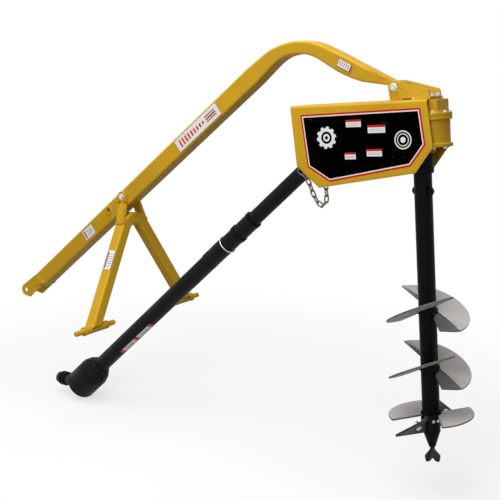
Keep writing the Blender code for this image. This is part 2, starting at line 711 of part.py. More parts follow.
def make_yoke():
    yellow = (YELLOW, 0.35)
    end_drop = YOKE_DROP - YOKE_LEG_SHORT
    outer = leg_path(YOKE_TUBE / 2, end_drop)
    inner = leg_path(-YOKE_TUBE / 2, end_drop)
    right = outer + inner[::-1]
    outline = right + [(-y, z) for y, z in right[::-1][1:-1]]
    legs = piece("yoke_legs", slab("yoke_legs", [outline], YOKE_TUBE), yellow, YOKE, (0, 0, 0), IN_YZ)
    round_edges(legs, YOKE_CORNER)
    for side, name in ((-1, "near"), (1, "far")):
        middle = side * (SLEEVE_INNER_Y + SLEEVE_OUTER_Y) / 2
        half = (SLEEVE_OUTER_Y - SLEEVE_INNER_Y) / 2
        at = (0, middle, -YOKE_DROP)
        cut(legs, tool("sleeve_seat_" + name,
                       rod("sleeve_seat_" + name, SLEEVE_RADIUS + SEAT, -2 * half, 2 * half, 32),
                       YOKE, at, ALONG_Y))
        spin(piece("hitch_sleeve_" + name,
                   turned("hitch_sleeve_" + name,
                          tube_profile(-half, half, SLEEVE_RADIUS, PIN_RADIUS + SEAT), 32, ring=True),
                   yellow, YOKE, at, ALONG_Y))
        chamfer = PIN_CHAMFER
        stub = PIN_STUB_Y - abs(middle)
        tip = PIN_END_Y - abs(middle)
        collar = half + SEAT
        profile = [(tip, 0.0), (tip, PIN_RADIUS - chamfer), (tip - chamfer, PIN_RADIUS),
                   (collar + PIN_COLLAR_LENGTH, PIN_RADIUS),
                   (collar + PIN_COLLAR_LENGTH, PIN_COLLAR_RADIUS), (collar, PIN_COLLAR_RADIUS),
                   (collar, PIN_RADIUS), (stub + chamfer, PIN_RADIUS), (stub, PIN_RADIUS - chamfer),
                   (stub, 0.0)]
        turn = ALONG_Y if side > 0 else (math.pi / 2, 0, 0)
        spin(piece("hitch_pin_" + name, turned("hitch_pin_" + name, profile, 24),
                   (STEEL, 0.3, 1.0), YOKE, at, turn))

        top = arc((0, 0), STRAP_WIDTH / 2, 0, 180, 13)
        outline = top + [(-STRAP_WIDTH / 2, -STRAP_BEND_DROP), (STRAP_WIDTH / 2, -STRAP_BEND_DROP)]
        strap = piece("yoke_strap_" + name,
                      slab("yoke_strap_" + name, [outline, circle((0, 0), bored(PIVOT_BOLT_RADIUS))],
                           STRAP_THICKNESS), yellow, YOKE,
                      (0, side * (TUBE_SIZE / 2 + STRAP_GAP + STRAP_THICKNESS / 2), 0), IN_XZ)
        join(strap, tool("strap_foot_" + name,
                         slab("strap_foot_" + name, [strap_foot(side)], STRAP_WIDTH - 2 * JOIN_STEP),
                         YOKE, (0, 0, 0), IN_YZ))
        crest = leg_path(YOKE_TUBE / 2 + SEAT, end_drop)
        around = crest + [(-y, z) for y, z in crest[::-1]][:-1]
        cut(strap, tool("strap_cope_" + name, slab("strap_cope_" + name, [around], 4 * YOKE_TUBE),
                        YOKE, (0, 0, 0), IN_YZ))


# The head
def make_shield():
    width = SHIELD_WIDTH
    shell = piece("shield", slab("shield", [SHIELD_OUTLINE], width), (YELLOW, 0.35), HEAD,
                  (0, 0, 0), IN_XZ)
    round_long_edges(shell, SHIELD_BEND_RADIUS, 1)
    low_x = min(x for x, z in SHIELD_OUTLINE)
    high_x = max(x for x, z in SHIELD_OUTLINE)
    depth = SHIELD_TOP - min(z for x, z in SHIELD_OUTLINE)
    inside = box("shield_inside", (1.2 * (high_x - low_x), width - 2 * SHIELD_SHEET, 1.3 * depth),
                 ((low_x + high_x) / 2, 0, SHIELD_TOP - SHIELD_SHEET - 0.65 * depth))
    hollow = round_long_edges(tool("shield_inside", inside, HEAD), SHIELD_BEND_RADIUS - SHIELD_SHEET, 2)
    cut(shell, hollow)
    for row in CAP_BOLT_ROWS:
        for side in (-1, 1):
            label = "shield_hole_%d_%d" % (row * 1000, side)
            cut(shell, tool(label, rod(label, CAP_BOLT_RADIUS + SEAT, -2 * SHIELD_SHEET, 2 * SHIELD_SHEET),
                            HEAD, (row, side * CAP_BOLT_Y, SHIELD_TOP)))
    pin_reach = SHIELD_WIDTH / 2 + CHAIN_Y + CHAIN_WIRE + PIN_PAST_CHAIN
    pin = rod("chain_hook", CHAIN_PIN_RADIUS, -SHIELD_WIDTH / 2 + SHIELD_SHEET / 2,
              -SHIELD_WIDTH / 2 + pin_reach, 12)
    join(shell, tool("chain_hook", pin, HEAD, (CHAIN_HOOK[0], 0, CHAIN_HOOK[1]), ALONG_Y))
    return shell


def round_long_edges(obj, width, up):
    """Bevel the two upper edges that run along x; up is the local axis of height, 1 or 2."""
    mesh = obj.data
    top = max(v.co[up] for v in mesh.vertices)
    weights = []
    for edge in mesh.edges:
        a, b = (mesh.vertices[i].co for i in edge.vertices)
        high = min(a[up], b[up]) > top - 1e-6
        weights.append(1.0 if high and abs(a.x - b.x) > 1e-3 else 0.0)
    layer = mesh.attributes.new("bevel_weight_edge", "FLOAT", "EDGE")
    layer.data.foreach_set("value", weights)
    modifier = obj.modifiers.new("sheet bends", "BEVEL")
    modifier.width = width
    modifier.segments = 4
    modifier.limit_method = "WEIGHT"
    return obj


def make_hanger():
    look = (YELLOW, 0.35)
    foot = SHIELD_TOP + SEAT
    half_gap = EAR_GAP / 2
    heel_in, heel_down = EAR_HEEL_CHAMFER
    nose = arc((0, 0), EAR_END_RADIUS, *EAR_NOSE_TURN, 11)
    outline = nose + [(EAR_SLOT[0] - EAR_FOOT_LEAD, foot), (EAR_SLOT[0], foot),
                      (EAR_SLOT[0], foot + EAR_SLOT_HEIGHT), (EAR_SLOT[1], foot + EAR_SLOT_HEIGHT),
                      (EAR_SLOT[1], foot), (EAR_HEEL, foot), (EAR_HEEL, EAR_HEEL_TOP - heel_down),
                      (EAR_HEEL - heel_in, EAR_HEEL_TOP)]
    ears = slab("hanger_bracket", [outline, circle((0, 0), HANGER_BOLT_RADIUS + SEAT)], EAR_THICKNESS)
    near = piece("hanger_bracket", ears, look, HEAD,
                 (0, -half_gap - EAR_THICKNESS / 2, 0), IN_XZ)
    far = tool("hanger_ear_far", ears, HEAD, (0, half_gap + EAR_THICKNESS / 2, 0), IN_XZ)
    length = HANGER_BASE_LENGTH
    base_foot = foot + JOIN_STEP
    base = box("hanger_base", (length, EAR_GAP + 2 * EAR_THICKNESS + HANGER_BASE_LIP, HANGER_BASE_THICKNESS),
               (EAR_HEEL + HANGER_BASE_LIP - length / 2, 0, base_foot + HANGER_BASE_THICKNESS / 2))
    join(near, far, tool("hanger_base", base, HEAD))
    for index, row in enumerate(CAP_BOLT_ROWS):
        for side in (-1, 1):
            label = "cap_bolt_%d" % (2 * index + (side + 1) // 2 + 1)
            hole = tool(label + "_hole",
                        rod(label + "_hole", CAP_BOLT_RADIUS + SEAT, -EAR_END_RADIUS, EAR_END_RADIUS),
                        HEAD, (row, side * CAP_BOLT_Y, foot))
            cut(near, hole)
            low = SHIELD_TOP - SHIELD_SHEET - CAP_BOLT_DEPTH
            seat = base_foot + HANGER_BASE_THICKNESS + SEAT
            bolt = piece(label, rod(label, CAP_BOLT_RADIUS, low, seat + CAP_BOLT_HEAD / 2),
                         (STEEL, 0.35, 1.0), HEAD, (row, side * CAP_BOLT_Y, 0))
            join(bolt, tool(label + "_head",
                            rod(label + "_head", CAP_BOLT_HEAD_RADIUS, seat, seat + CAP_BOLT_HEAD, 6),
                            HEAD, (row, side * CAP_BOLT_Y, 0)))
    through_bolt("hanger_bolt", HEAD, (0, 0, 0), ALONG_Y, HANGER_BOLT_RADIUS,
                 EAR_GAP + 2 * (EAR_THICKNESS + SEAT))


def box_plan(grow=0.0):
    """The gearbox's plan outline about the auger's axis."""
    return stadium((AUGER_X, 0), BOX_HALF_LENGTH + grow, BOX_HALF_WIDTH + grow)


def level_slab(name, ring, low, high, look=None):
    """A plan outline raised from low to high, as a piece where a look is given, or else as a tool."""
    data = slab(name, [ring], high - low)
    at = (0, 0, (low + high) / 2)
    if look is None:
        return tool(name, data, HEAD, at)
    return piece(name, data, look, HEAD, at)


def make_gearbox():
    look = (YELLOW, 0.45)
    bottom, split = BOX_BOTTOM, CAP_SPLIT
    wall, lip = BOX_WALL, BOX_FLANGE
    thick = BOX_FLANGE_THICKNESS
    housing = level_slab("gearbox_housing", box_plan(), bottom + JOIN_STEP, split - SEAT - JOIN_STEP, look)
    join(housing,
         level_slab("box_bottom_flange", box_plan(lip), bottom, bottom + thick),
         level_slab("box_top_flange", box_plan(lip), split - SEAT - thick, split - SEAT),
         tool("input_boss", rod("input_boss", INPUT_BOSS_RADIUS, INPUT_BOSS_END, 0.0, 32),
              INPUT, (0, 0, 0), ALONG_X),
         tool("output_boss",
              rod("output_boss", OUTPUT_BOSS_RADIUS, OUTPUT_BOSS_END, bottom + BOX_FLOOR / 2, 32),
              AUGER))
    cut(housing,
        level_slab("box_cavity", box_plan(-wall), bottom + BOX_FLOOR, split + thick),
        tool("input_bore",
             rod("input_bore", INPUT_SHAFT_RADIUS + SHAFT_CLEARANCE, INPUT_BOSS_END - wall, wall, 32),
             INPUT, (0, 0, 0), ALONG_X),
        tool("input_seat",
             rod("input_seat", INPUT_BEARING_RADIUS + SEAT, INPUT_BEARING_AT - SEAT, BEARING_WIDTH, 32),
             INPUT, (0, 0, 0), ALONG_X),
        tool("output_bore", rod("output_bore", OUTPUT_SHAFT_RADIUS + SHAFT_CLEARANCE, OUTPUT_BOSS_END - wall,
                                bottom + 2 * BOX_FLOOR, 32), AUGER),
        tool("output_seat", rod("output_seat", OUTPUT_BEARING_RADIUS + SEAT, OUTPUT_BEARING_AT - SEAT,
                                bottom + 2 * BOX_FLOOR, 32), AUGER))

    cap = level_slab("gearbox_cap", box_plan(lip), split, split + CAP_FLANGE_THICKNESS, look)
    block_top = SHIELD_TOP - SHIELD_SHEET - SEAT
    block = box("cap_block", (2 * CAP_BLOCK_HALF_LENGTH, 2 * CAP_BLOCK_HALF_WIDTH,
                              block_top - split - CAP_FLANGE_THICKNESS / 2),
                (AUGER_X, 0, (block_top + split + CAP_FLANGE_THICKNESS / 2) / 2))
    join(cap, tool("cap_block", block, HEAD))
    cut(cap, tool("cap_hollow", rod("cap_hollow", CAP_HOLLOW_RADIUS, split - wall,
                                    split + CAP_HOLLOW_DEPTH, 32), AUGER))
    for row in CAP_BOLT_ROWS:
        for side in (-1, 1):
            label = "cap_thread_%d_%d" % (row * 1000, side)
            cut(cap, tool(label, rod(label, CAP_BOLT_RADIUS + SEAT,
                                     SHIELD_TOP - SHIELD_SHEET - CAP_BOLT_DEPTH - SEAT, SHIELD_TOP),
                          HEAD, (row, side * CAP_BOLT_Y, 0)))

    spin(piece("input_bearing",
               turned("input_bearing", tube_profile(INPUT_BEARING_AT, INPUT_BEARING_AT + BEARING_WIDTH,
                                                    INPUT_BEARING_RADIUS, bored(INPUT_SHAFT_RADIUS, 32)),
                      32, ring=True), (STEEL, 0.3, 1.0), INPUT, (0, 0, 0), ALONG_X))
    spin(piece("output_bearing",
               turned("output_bearing", tube_profile(OUTPUT_BEARING_AT, OUTPUT_BEARING_AT + BEARING_WIDTH,
                                                     OUTPUT_BEARING_RADIUS, bored(OUTPUT_SHAFT_RADIUS, 32)),
                      32, ring=True), (STEEL, 0.3, 1.0), AUGER))


def gear_outline(teeth, radius):
    """A ring with trapezoid teeth; four points a tooth."""
    points = []
    for tooth in range(teeth):
        for share, side in ((-0.34, -1), (-0.16, 1), (0.16, 1), (0.34, -1)):
            angle = 2 * math.pi * (tooth + share) / teeth
            reach = radius + side * TOOTH_HALF_DEPTH
            points.append((reach * math.cos(angle), reach * math.sin(angle)))
    return points


# The auger
def blade_outline():
    """A half disc on the +x side of the shaft, with its straight cut edge off the axis."""
    sweep = math.degrees(math.acos(FLIGHT_EDGE / AUGER_RADIUS))
    return arc((0, 0), AUGER_RADIUS, -sweep, sweep, 25)


def shaft_clearance(name, level, half_height=0.12):
    """The auger tube, grown by a weld gap, round a flight's level."""
    return tool(name, rod(name, AUGER_TUBE_RADIUS + WELD, level - half_height, level + half_height, 32),
                AUGER)


def make_flight(name, level, clock, folded):
    """One half of an upper flight, a flat half disc tilted like a propeller's blade."""
    look = (GREY, 0.6, 0.3)
    at = (0, 0, level)
    turn = (FLIGHT_TILT, 0.0, clock)
    blade = piece(name, slab(name, [blade_outline()], FLIGHT_THICKNESS), look, AUGER, at, turn)
    if folded:
        inner, outer = CORNER_FROM, AUGER_RADIUS - CORNER_INSET
        corner = [(CORNER_FORWARD, -outer), (CORNER_FORWARD, -inner), (-CORNER_BACK, -inner)]
        corner += arc((0, 0), outer, *CORNER_TURN, 5)
        fold = tool(name + "_corner", slab(name + "_corner", [corner], FLIGHT_THICKNESS), AUGER)
        base = Matrix.Translation(at) @ Matrix.Rotation(clock, 4, "Z") @ Matrix.Rotation(FLIGHT_TILT, 4, "X")
        fold.matrix_local = (base @ Matrix.Translation((FLIGHT_EDGE, 0, 0))
                             @ Matrix.Rotation(-CORNER_FOLD, 4, "Y")
                             @ Matrix.Translation((-FLIGHT_EDGE, 0, 2 * JOIN_STEP)))
        join(blade, fold)
    cut(blade, shaft_clearance(name + "_shaft", level))
    return blade


def tooth_corners():
    """Corners of a cutting tooth's middle surface: outer top, outer low, inner low, inner top."""
    return [Vector(TOOTH_OUTER_TOP), Vector(TOOTH_OUTER_LOW),
            Vector(TOOTH_INNER_LOW), Vector(TOOTH_INNER_TOP)]


def tooth_mesh(name, front, back, grow=1.0):
    """A skewed plate between the surfaces that lie front and back of the tooth's middle.

    It is folded along the diagonal of its first and third corners, so it grows about that line.
    """
    corners = tooth_corners()
    hub = (corners[0] + corners[2]) / 2
    corners = [hub + (corner - hub) * grow for corner in corners]
    normal = (corners[2] - corners[0]).cross(corners[1] - corners[3]).normalized()

    def build(work):
        layers = [[work.verts.new(c + normal * shift) for c in corners] for shift in (front, back)]
        for layer in layers:
            work.faces.new((layer[0], layer[1], layer[2]))
            work.faces.new((layer[0], layer[2], layer[3]))
        for i in range(4):
            j = (i + 1) % 4
            work.faces.new((layers[0][j], layers[0][i], layers[1][i], layers[1][j]))
    return mesh_from(name, build), normal


def make_bottom_flight():
    look = (GREY, 0.6, 0.3)
    span = math.degrees(BOTTOM_HALF_SPAN)
    for index in (1, 2):
        clock = BOTTOM_CLOCK + (index - 1) * math.pi
        outline = arc((0, 0), AUGER_RADIUS, -span - BOTTOM_LAP_DEGREES, span, 23)
        outline += [(0.010, 0.012), (0.004, -0.010)]
        name = "bottom_flight_%d" % index
        blade = piece(name, slab(name, [outline], FLIGHT_THICKNESS), look, AUGER,
                      (0, 0, BOTTOM_FLIGHT), (0, 0, clock))
        turn = clock - BOTTOM_HALF_SPAN - TOOTH_LEAD
        tooth_name = "cutting_tooth_%d" % index
        plate, normal = tooth_mesh(tooth_name, TOOTH_THICKNESS / 2, -TOOTH_THICKNESS / 2)
        tooth = piece(tooth_name, plate, (CAST, 0.5, 0.6), AUGER, (0, 0, BOTTOM_FLIGHT), (0, 0, turn))
        clear_name = tooth_name + "_clearance"
        clearance, normal = tooth_mesh(clear_name, 5 * TOOTH_THICKNESS,
                                       -TOOTH_THICKNESS / 2 - SEAT, TOOTH_CLEARANCE_GROWTH)
        cut(blade, tool(clear_name, clearance, AUGER, (0, 0, BOTTOM_FLIGHT), (0, 0, turn)),
            shaft_clearance(name + "_shaft", BOTTOM_FLIGHT))
        cut(tooth, shaft_clearance(tooth_name + "_shaft", BOTTOM_FLIGHT))
        middle = sum(tooth_corners(), Vector()) / 4
        aim = Matrix.Rotation(turn, 3, "Z")
        rotation = (aim @ normal).to_track_quat("Z", "Y").to_euler()
        at = aim @ middle + Vector((0, 0, BOTTOM_FLIGHT))
        bolt_name = "tooth_bolt_%d" % index
        through_bolt(bolt_name, AUGER, at, rotation, TOOTH_BOLT_RADIUS,
                     TOOTH_THICKNESS + 2 * SEAT, tail=TOOTH_BOLT_RADIUS / 2)
        seat = TOOTH_THICKNESS / 2 + SEAT / 2
        spot = 2 * TOOTH_BOLT_RADIUS
        past = 3 * TOOTH_THICKNESS
        cut(tooth,
            tool(bolt_name + "_hole", rod(bolt_name + "_hole", TOOTH_BOLT_RADIUS + SEAT, -past, past),
                 AUGER, at, rotation),
            tool(bolt_name + "_spot_1", rod(bolt_name + "_spot_1", spot, seat, past), AUGER, at, rotation),
            tool(bolt_name + "_spot_2", rod(bolt_name + "_spot_2", spot, -past, -seat), AUGER, at, rotation))


def make_auger():
    dark = (BLACK, 0.4)
    steel = (STEEL, 0.3, 1.0)
    neck, step = OUTPUT_SHAFT_NECK_RADIUS, CROWN_TOP + SHAFT_PAST_GEAR
    shaft = [(OUTPUT_SHAFT_TOP, 0.0), (OUTPUT_SHAFT_TOP, neck), (step, neck),
             (step, OUTPUT_SHAFT_RADIUS), (OUTPUT_SHAFT_END, OUTPUT_SHAFT_RADIUS),
             (OUTPUT_SHAFT_END, 0.0)]
    output = spin(piece("output_shaft", turned("output_shaft", shaft, 32), steel, AUGER))
    across = 2 * AUGER_TUBE_RADIUS
    bolt_hole = rod("auger_bolt_hole", AUGER_BOLT_RADIUS + SEAT, -across, across)
    bolt_turn = (ALONG_Y[0], 0.0, AUGER_BOLT_CLOCK)
    hole = tool("auger_bolt_hole", bolt_hole, AUGER, (0, 0, AUGER_BOLT_Z), bolt_turn)
    cut(output, hole)

    crown = piece("crown_gear", slab("crown_gear", [gear_outline(CROWN_TEETH, CROWN_RADIUS),
                                                    circle((0, 0), OUTPUT_SHAFT_RADIUS + SEAT, 32)],
                                     CROWN_THICKNESS), steel, AUGER,
                  (0, 0, CROWN_TOP - CROWN_THICKNESS / 2))
    crown.rotation_euler = (0, 0, math.pi / CROWN_TEETH)

    top = AUGER_TUBE_TOP
    outer, inner = AUGER_TUBE_RADIUS, AUGER_TUBE_RADIUS - AUGER_TUBE_WALL
    inner = max(inner, OUTPUT_SHAFT_RADIUS + SEAT)
    depth = OUTPUT_SHAFT_END - AUGER_BORE_PAST_SHAFT
    profile = [(top, 0.0), (top, outer), (COLLAR_TOP, outer), (COLLAR_TOP, COLLAR_RADIUS),
               (COLLAR_END, COLLAR_RADIUS), (COLLAR_END, outer), (SOCKET_TOP, outer),
               (SOCKET_END, SOCKET_END_RADIUS), (SOCKET_END, 0.0)]
    tube = spin(piece("auger_tube", turned("auger_tube", profile, 32), dark, AUGER))
    cut(tube,
        tool("auger_tube_bore", rod("auger_tube_bore", inner, depth, top + COLLAR_RADIUS, 32), AUGER), hole)
    through_bolt("auger_bolt", AUGER, (0, 0, AUGER_BOLT_Z), bolt_turn, AUGER_BOLT_RADIUS,
                 2 * AUGER_TUBE_RADIUS + 2 * SEAT)

    for index in (1, 2):
        level = FLIGHT_TOP - (index - 1) * FLIGHT_PITCH
        make_flight("flight_%d_right" % index, level, FLIGHT_CLOCK, True)
        make_flight("flight_%d_left" % index, level, FLIGHT_CLOCK + math.pi, False)
    make_bottom_flight()

    half = POINT_WIDTH / 2
    neck = POINT_NECK / 2
    neck_top = SOCKET_END + POINT_IN_SOCKET
    neck_end = SOCKET_END - POINT_NECK_DROP
    shoulder = SOCKET_END - POINT_SHOULDER_DROP
    tip = half - POINT_TIP_INSET
    notch, notch_height = POINT_NOTCH
    notch_foot = POINT_END + POINT_TIP_INSET
    outline = [(-neck, neck_top), (neck, neck_top), (neck, neck_end), (half, shoulder), (tip, POINT_END),
               (notch, notch_foot), (0, POINT_END + notch_height), (-notch, notch_foot),
               (-tip, POINT_END), (-half, shoulder), (-neck, neck_end)]
    point_turn = (math.pi / 2, 0, POINT_CLOCK)
    piece("fishtail_point", slab("fishtail_point", [outline], POINT_THICKNESS), (CAST, 0.45, 0.7),
          AUGER, (0, 0, 0), point_turn)
    slot_top = neck_top + SEAT
    slot_height = 2.5 * POINT_IN_SOCKET
    slot = box("point_slot", (POINT_NECK + 2 * SEAT, slot_height, POINT_THICKNESS + 2 * SEAT),
               (0, slot_top - slot_height / 2, 0))
    cut(tube, tool("point_slot", slot, AUGER, (0, 0, 0), point_turn))


# Universal joints and shafts
def fork(name, look, parent, facing, pins, ends):
    """A universal joint's fork about the parent's origin.

    facing is +1 or -1 for the side of the joint that its hub lies on along x, pins is the axis of
    its ears, "y" or "z", and ends is the list of (low, high, radius) hub lengths.
    """
    lie = IN_XZ if pins == "y" else UPRIGHT
    ear = arc((0, 0), FORK_EAR_RADIUS, 90, 270, 11)
    ear_foot, ear_half = FORK_BASE_END - FORK_EAR_LAP, FORK_EAR_RADIUS + FORK_EAR_LAP / 2
    ear += [(ear_foot, -ear_half), (ear_foot, ear_half)]
    ear = [(facing * x, y) for x, y in ear]
    middle = (EAR_INNER + EAR_OUTER) / 2
    across = EAR_OUTER - EAR_INNER
    low, high, radius = ends[0]
    hub = piece(name, rod(name, radius, facing * low if facing > 0 else -high,
                          high if facing > 0 else -low, 32), look, parent, (0, 0, 0), ALONG_X)
    shapes = []
    for side in (-1, 1):
        offset = (0, side * middle, 0) if pins == "y" else (0, 0, side * middle)
        label = "%s_ear_%d" % (name, side)
        shapes.append(tool(label, slab(label, [ear], across), parent, offset, lie))
        cap_low, cap_high = sorted((side * (EAR_INNER - CAP_PAST_EAR), side * CAP_HALF_SPAN))
        label = "%s_cap_%d" % (name, side)
        turn = ALONG_Y if pins == "y" else UPRIGHT
        shapes.append(tool(label, rod(label, CAP_RADIUS, cap_low, cap_high, 16), parent, (0, 0, 0), turn))
    wide = 2 * EAR_OUTER - FORK_EAR_LAP
    narrow = 2 * FORK_EAR_RADIUS
    depth = FORK_BASE_END - FORK_BASE
    size = (depth, wide, narrow) if pins == "y" else (depth, narrow, wide)
    shapes.append(tool(name + "_bridge",
                       box(name + "_bridge", size, (facing * (FORK_BASE + FORK_BASE_END) / 2, 0, 0)), parent))
    for index, (low, high, radius) in enumerate(ends[1:]):
        label = "%s_hub_%d" % (name, index)
        a, b = sorted((facing * low, facing * high))
        shapes.append(tool(label, rod(label, radius, a, b, 32), parent, (0, 0, 0), ALONG_X))
    join(hub, *shapes)
    label = name + "_shoulder"
    far, near = FORK_BASE_END + 1.5 * FORK_EAR_LAP, FORK_BASE - 7 * FORK_EAR_LAP
    foot = FORK_HUB_RADIUS + FORK_EAR_LAP
    bevel = [(far, 2 * EAR_OUTER), (near, 2 * EAR_OUTER), (near, FORK_SHOULDER_RADIUS),
             (FORK_BASE_END - FORK_EAR_LAP / 2, foot), (far, foot)]
    cut(hub, spin(tool(label, turned(label, bevel, 24, ring=True), parent, (0, 0, 0),
                       (0, facing * math.pi / 2, 0))))
    return hub


def cross(name, parent):
    """The spider between two forks: a ball with four journals.

    The journals' ends lie on a sphere about the joint's centre, so they pass the forks' caps.
    """
    def ball(work):
        bmesh.ops.create_uvsphere(work, u_segments=12, v_segments=6, radius=CROSS_BODY_RADIUS)
    body = piece(name, mesh_from(name, ball), (STEEL, 0.4, 0.9), parent)
    dome = [(math.sqrt(CROSS_REACH ** 2 - radius ** 2), radius)
            for radius in (0.0, CROSS_ARM_RADIUS / 2, CROSS_ARM_RADIUS)]
    profile = dome + [(-height, radius) for height, radius in dome[::-1]]
    return join(body,
                spin(tool(name + "_arm_y", turned(name + "_arm_y", profile, 12), parent, (0, 0, 0), ALONG_Y)),
                spin(tool(name + "_arm_z", turned(name + "_arm_z", profile, 12), parent)))


def make_input():
    steel = (STEEL, 0.35, 1.0)
    dark = (CAST, 0.45, 0.6)
    pinion_face = AUGER_X - CROWN_RADIUS
    length = PINION_LENGTH
    end = pinion_face + length + SHAFT_PAST_GEAR
    profile = [(end, 0.0), (end, PINION_SHAFT_RADIUS),
               (pinion_face - SEAT, PINION_SHAFT_RADIUS), (pinion_face - SEAT, INPUT_SHAFT_RADIUS),
               (CLUTCH_FAR + CLUTCH_DISC, INPUT_SHAFT_RADIUS), (CLUTCH_FAR + CLUTCH_DISC, 0.0)]
    spin(piece("input_shaft", turned("input_shaft", profile, 32), steel, INPUT, (0, 0, 0), ALONG_X))
    gear = slab("drive_pinion", [gear_outline(PINION_TEETH, PINION_RADIUS),
                                 circle((0, 0), PINION_SHAFT_RADIUS + SEAT)], length)
    piece("drive_pinion", gear, steel, INPUT, (pinion_face + length / 2, 0, 0), ALONG_X)

    hub_end = CLUTCH_FAR - SEAT + CLUTCH_DISC
    face = CLUTCH_FAR - CLUTCH_HUB_STEP
    back = face - CLUTCH_PLATE
    hub = [(hub_end, 0.0), (hub_end, CLUTCH_HUB_RADIUS), (face, CLUTCH_HUB_RADIUS), (face, CLUTCH_RADIUS),
           (back, CLUTCH_RADIUS), (back, 0.0)]
    clutch = spin(piece("clutch_hub", turned("clutch_hub", hub, 32), dark, INPUT, (0, 0, 0), ALONG_X))
    cut(clutch, tool("clutch_hub_bore", rod("clutch_hub_bore", INPUT_SHAFT_RADIUS + SEAT,
                                            CLUTCH_FAR + CLUTCH_DISC - CLUTCH_BORE_DEPTH, 0.0, 32),
                     INPUT, (0, 0, 0), ALONG_X))
    disc_high = back - SEAT
    disc_low = disc_high - CLUTCH_DISC
    disc_radius = CLUTCH_RADIUS - CLUTCH_DISC_INSET
    disc = [(disc_high, 0.0), (disc_high, disc_radius), (disc_low, disc_radius), (disc_low, 0.0)]
    spin(piece("clutch_disc", turned("clutch_disc", disc, 32), (BLACK, 0.8), INPUT, (0, 0, 0), ALONG_X))
    plate_high = disc_low - SEAT
    plate_low = plate_high - CLUTCH_PLATE
    plate = spin(piece("clutch_pressure_plate",
                       turned("clutch_pressure_plate",
                              [(plate_high, 0.0), (plate_high, CLUTCH_RADIUS), (plate_low, CLUTCH_RADIUS),
                               (plate_low, 0.0)], 32), dark, INPUT, (0, 0, 0), ALONG_X))
    for index in range(CLUTCH_BOLTS):
        angle = 2 * math.pi * index / CLUTCH_BOLTS
        at = (0, CLUTCH_BOLT_CIRCLE * math.cos(angle), CLUTCH_BOLT_CIRCLE * math.sin(angle))
        label = "clutch_bolt_%d" % (index + 1)
        join(plate, tool(label, rod(label, 2 * CLUTCH_BOLT_RADIUS, plate_low - CLUTCH_BOLT_STAND,
                                   plate_low + CLUTCH_PLATE / 2, 6),
                         INPUT, at, ALONG_X))
    hub_reach = plate_low - SEAT - JOINT_X
    input_joint = frame("input_joint_centre", (JOINT_X, 0, 0), 0.0, INPUT)
    fork("input_fork", dark, input_joint, 1, "y", [(FORK_HUB_START, hub_reach, FORK_HUB_RADIUS)])


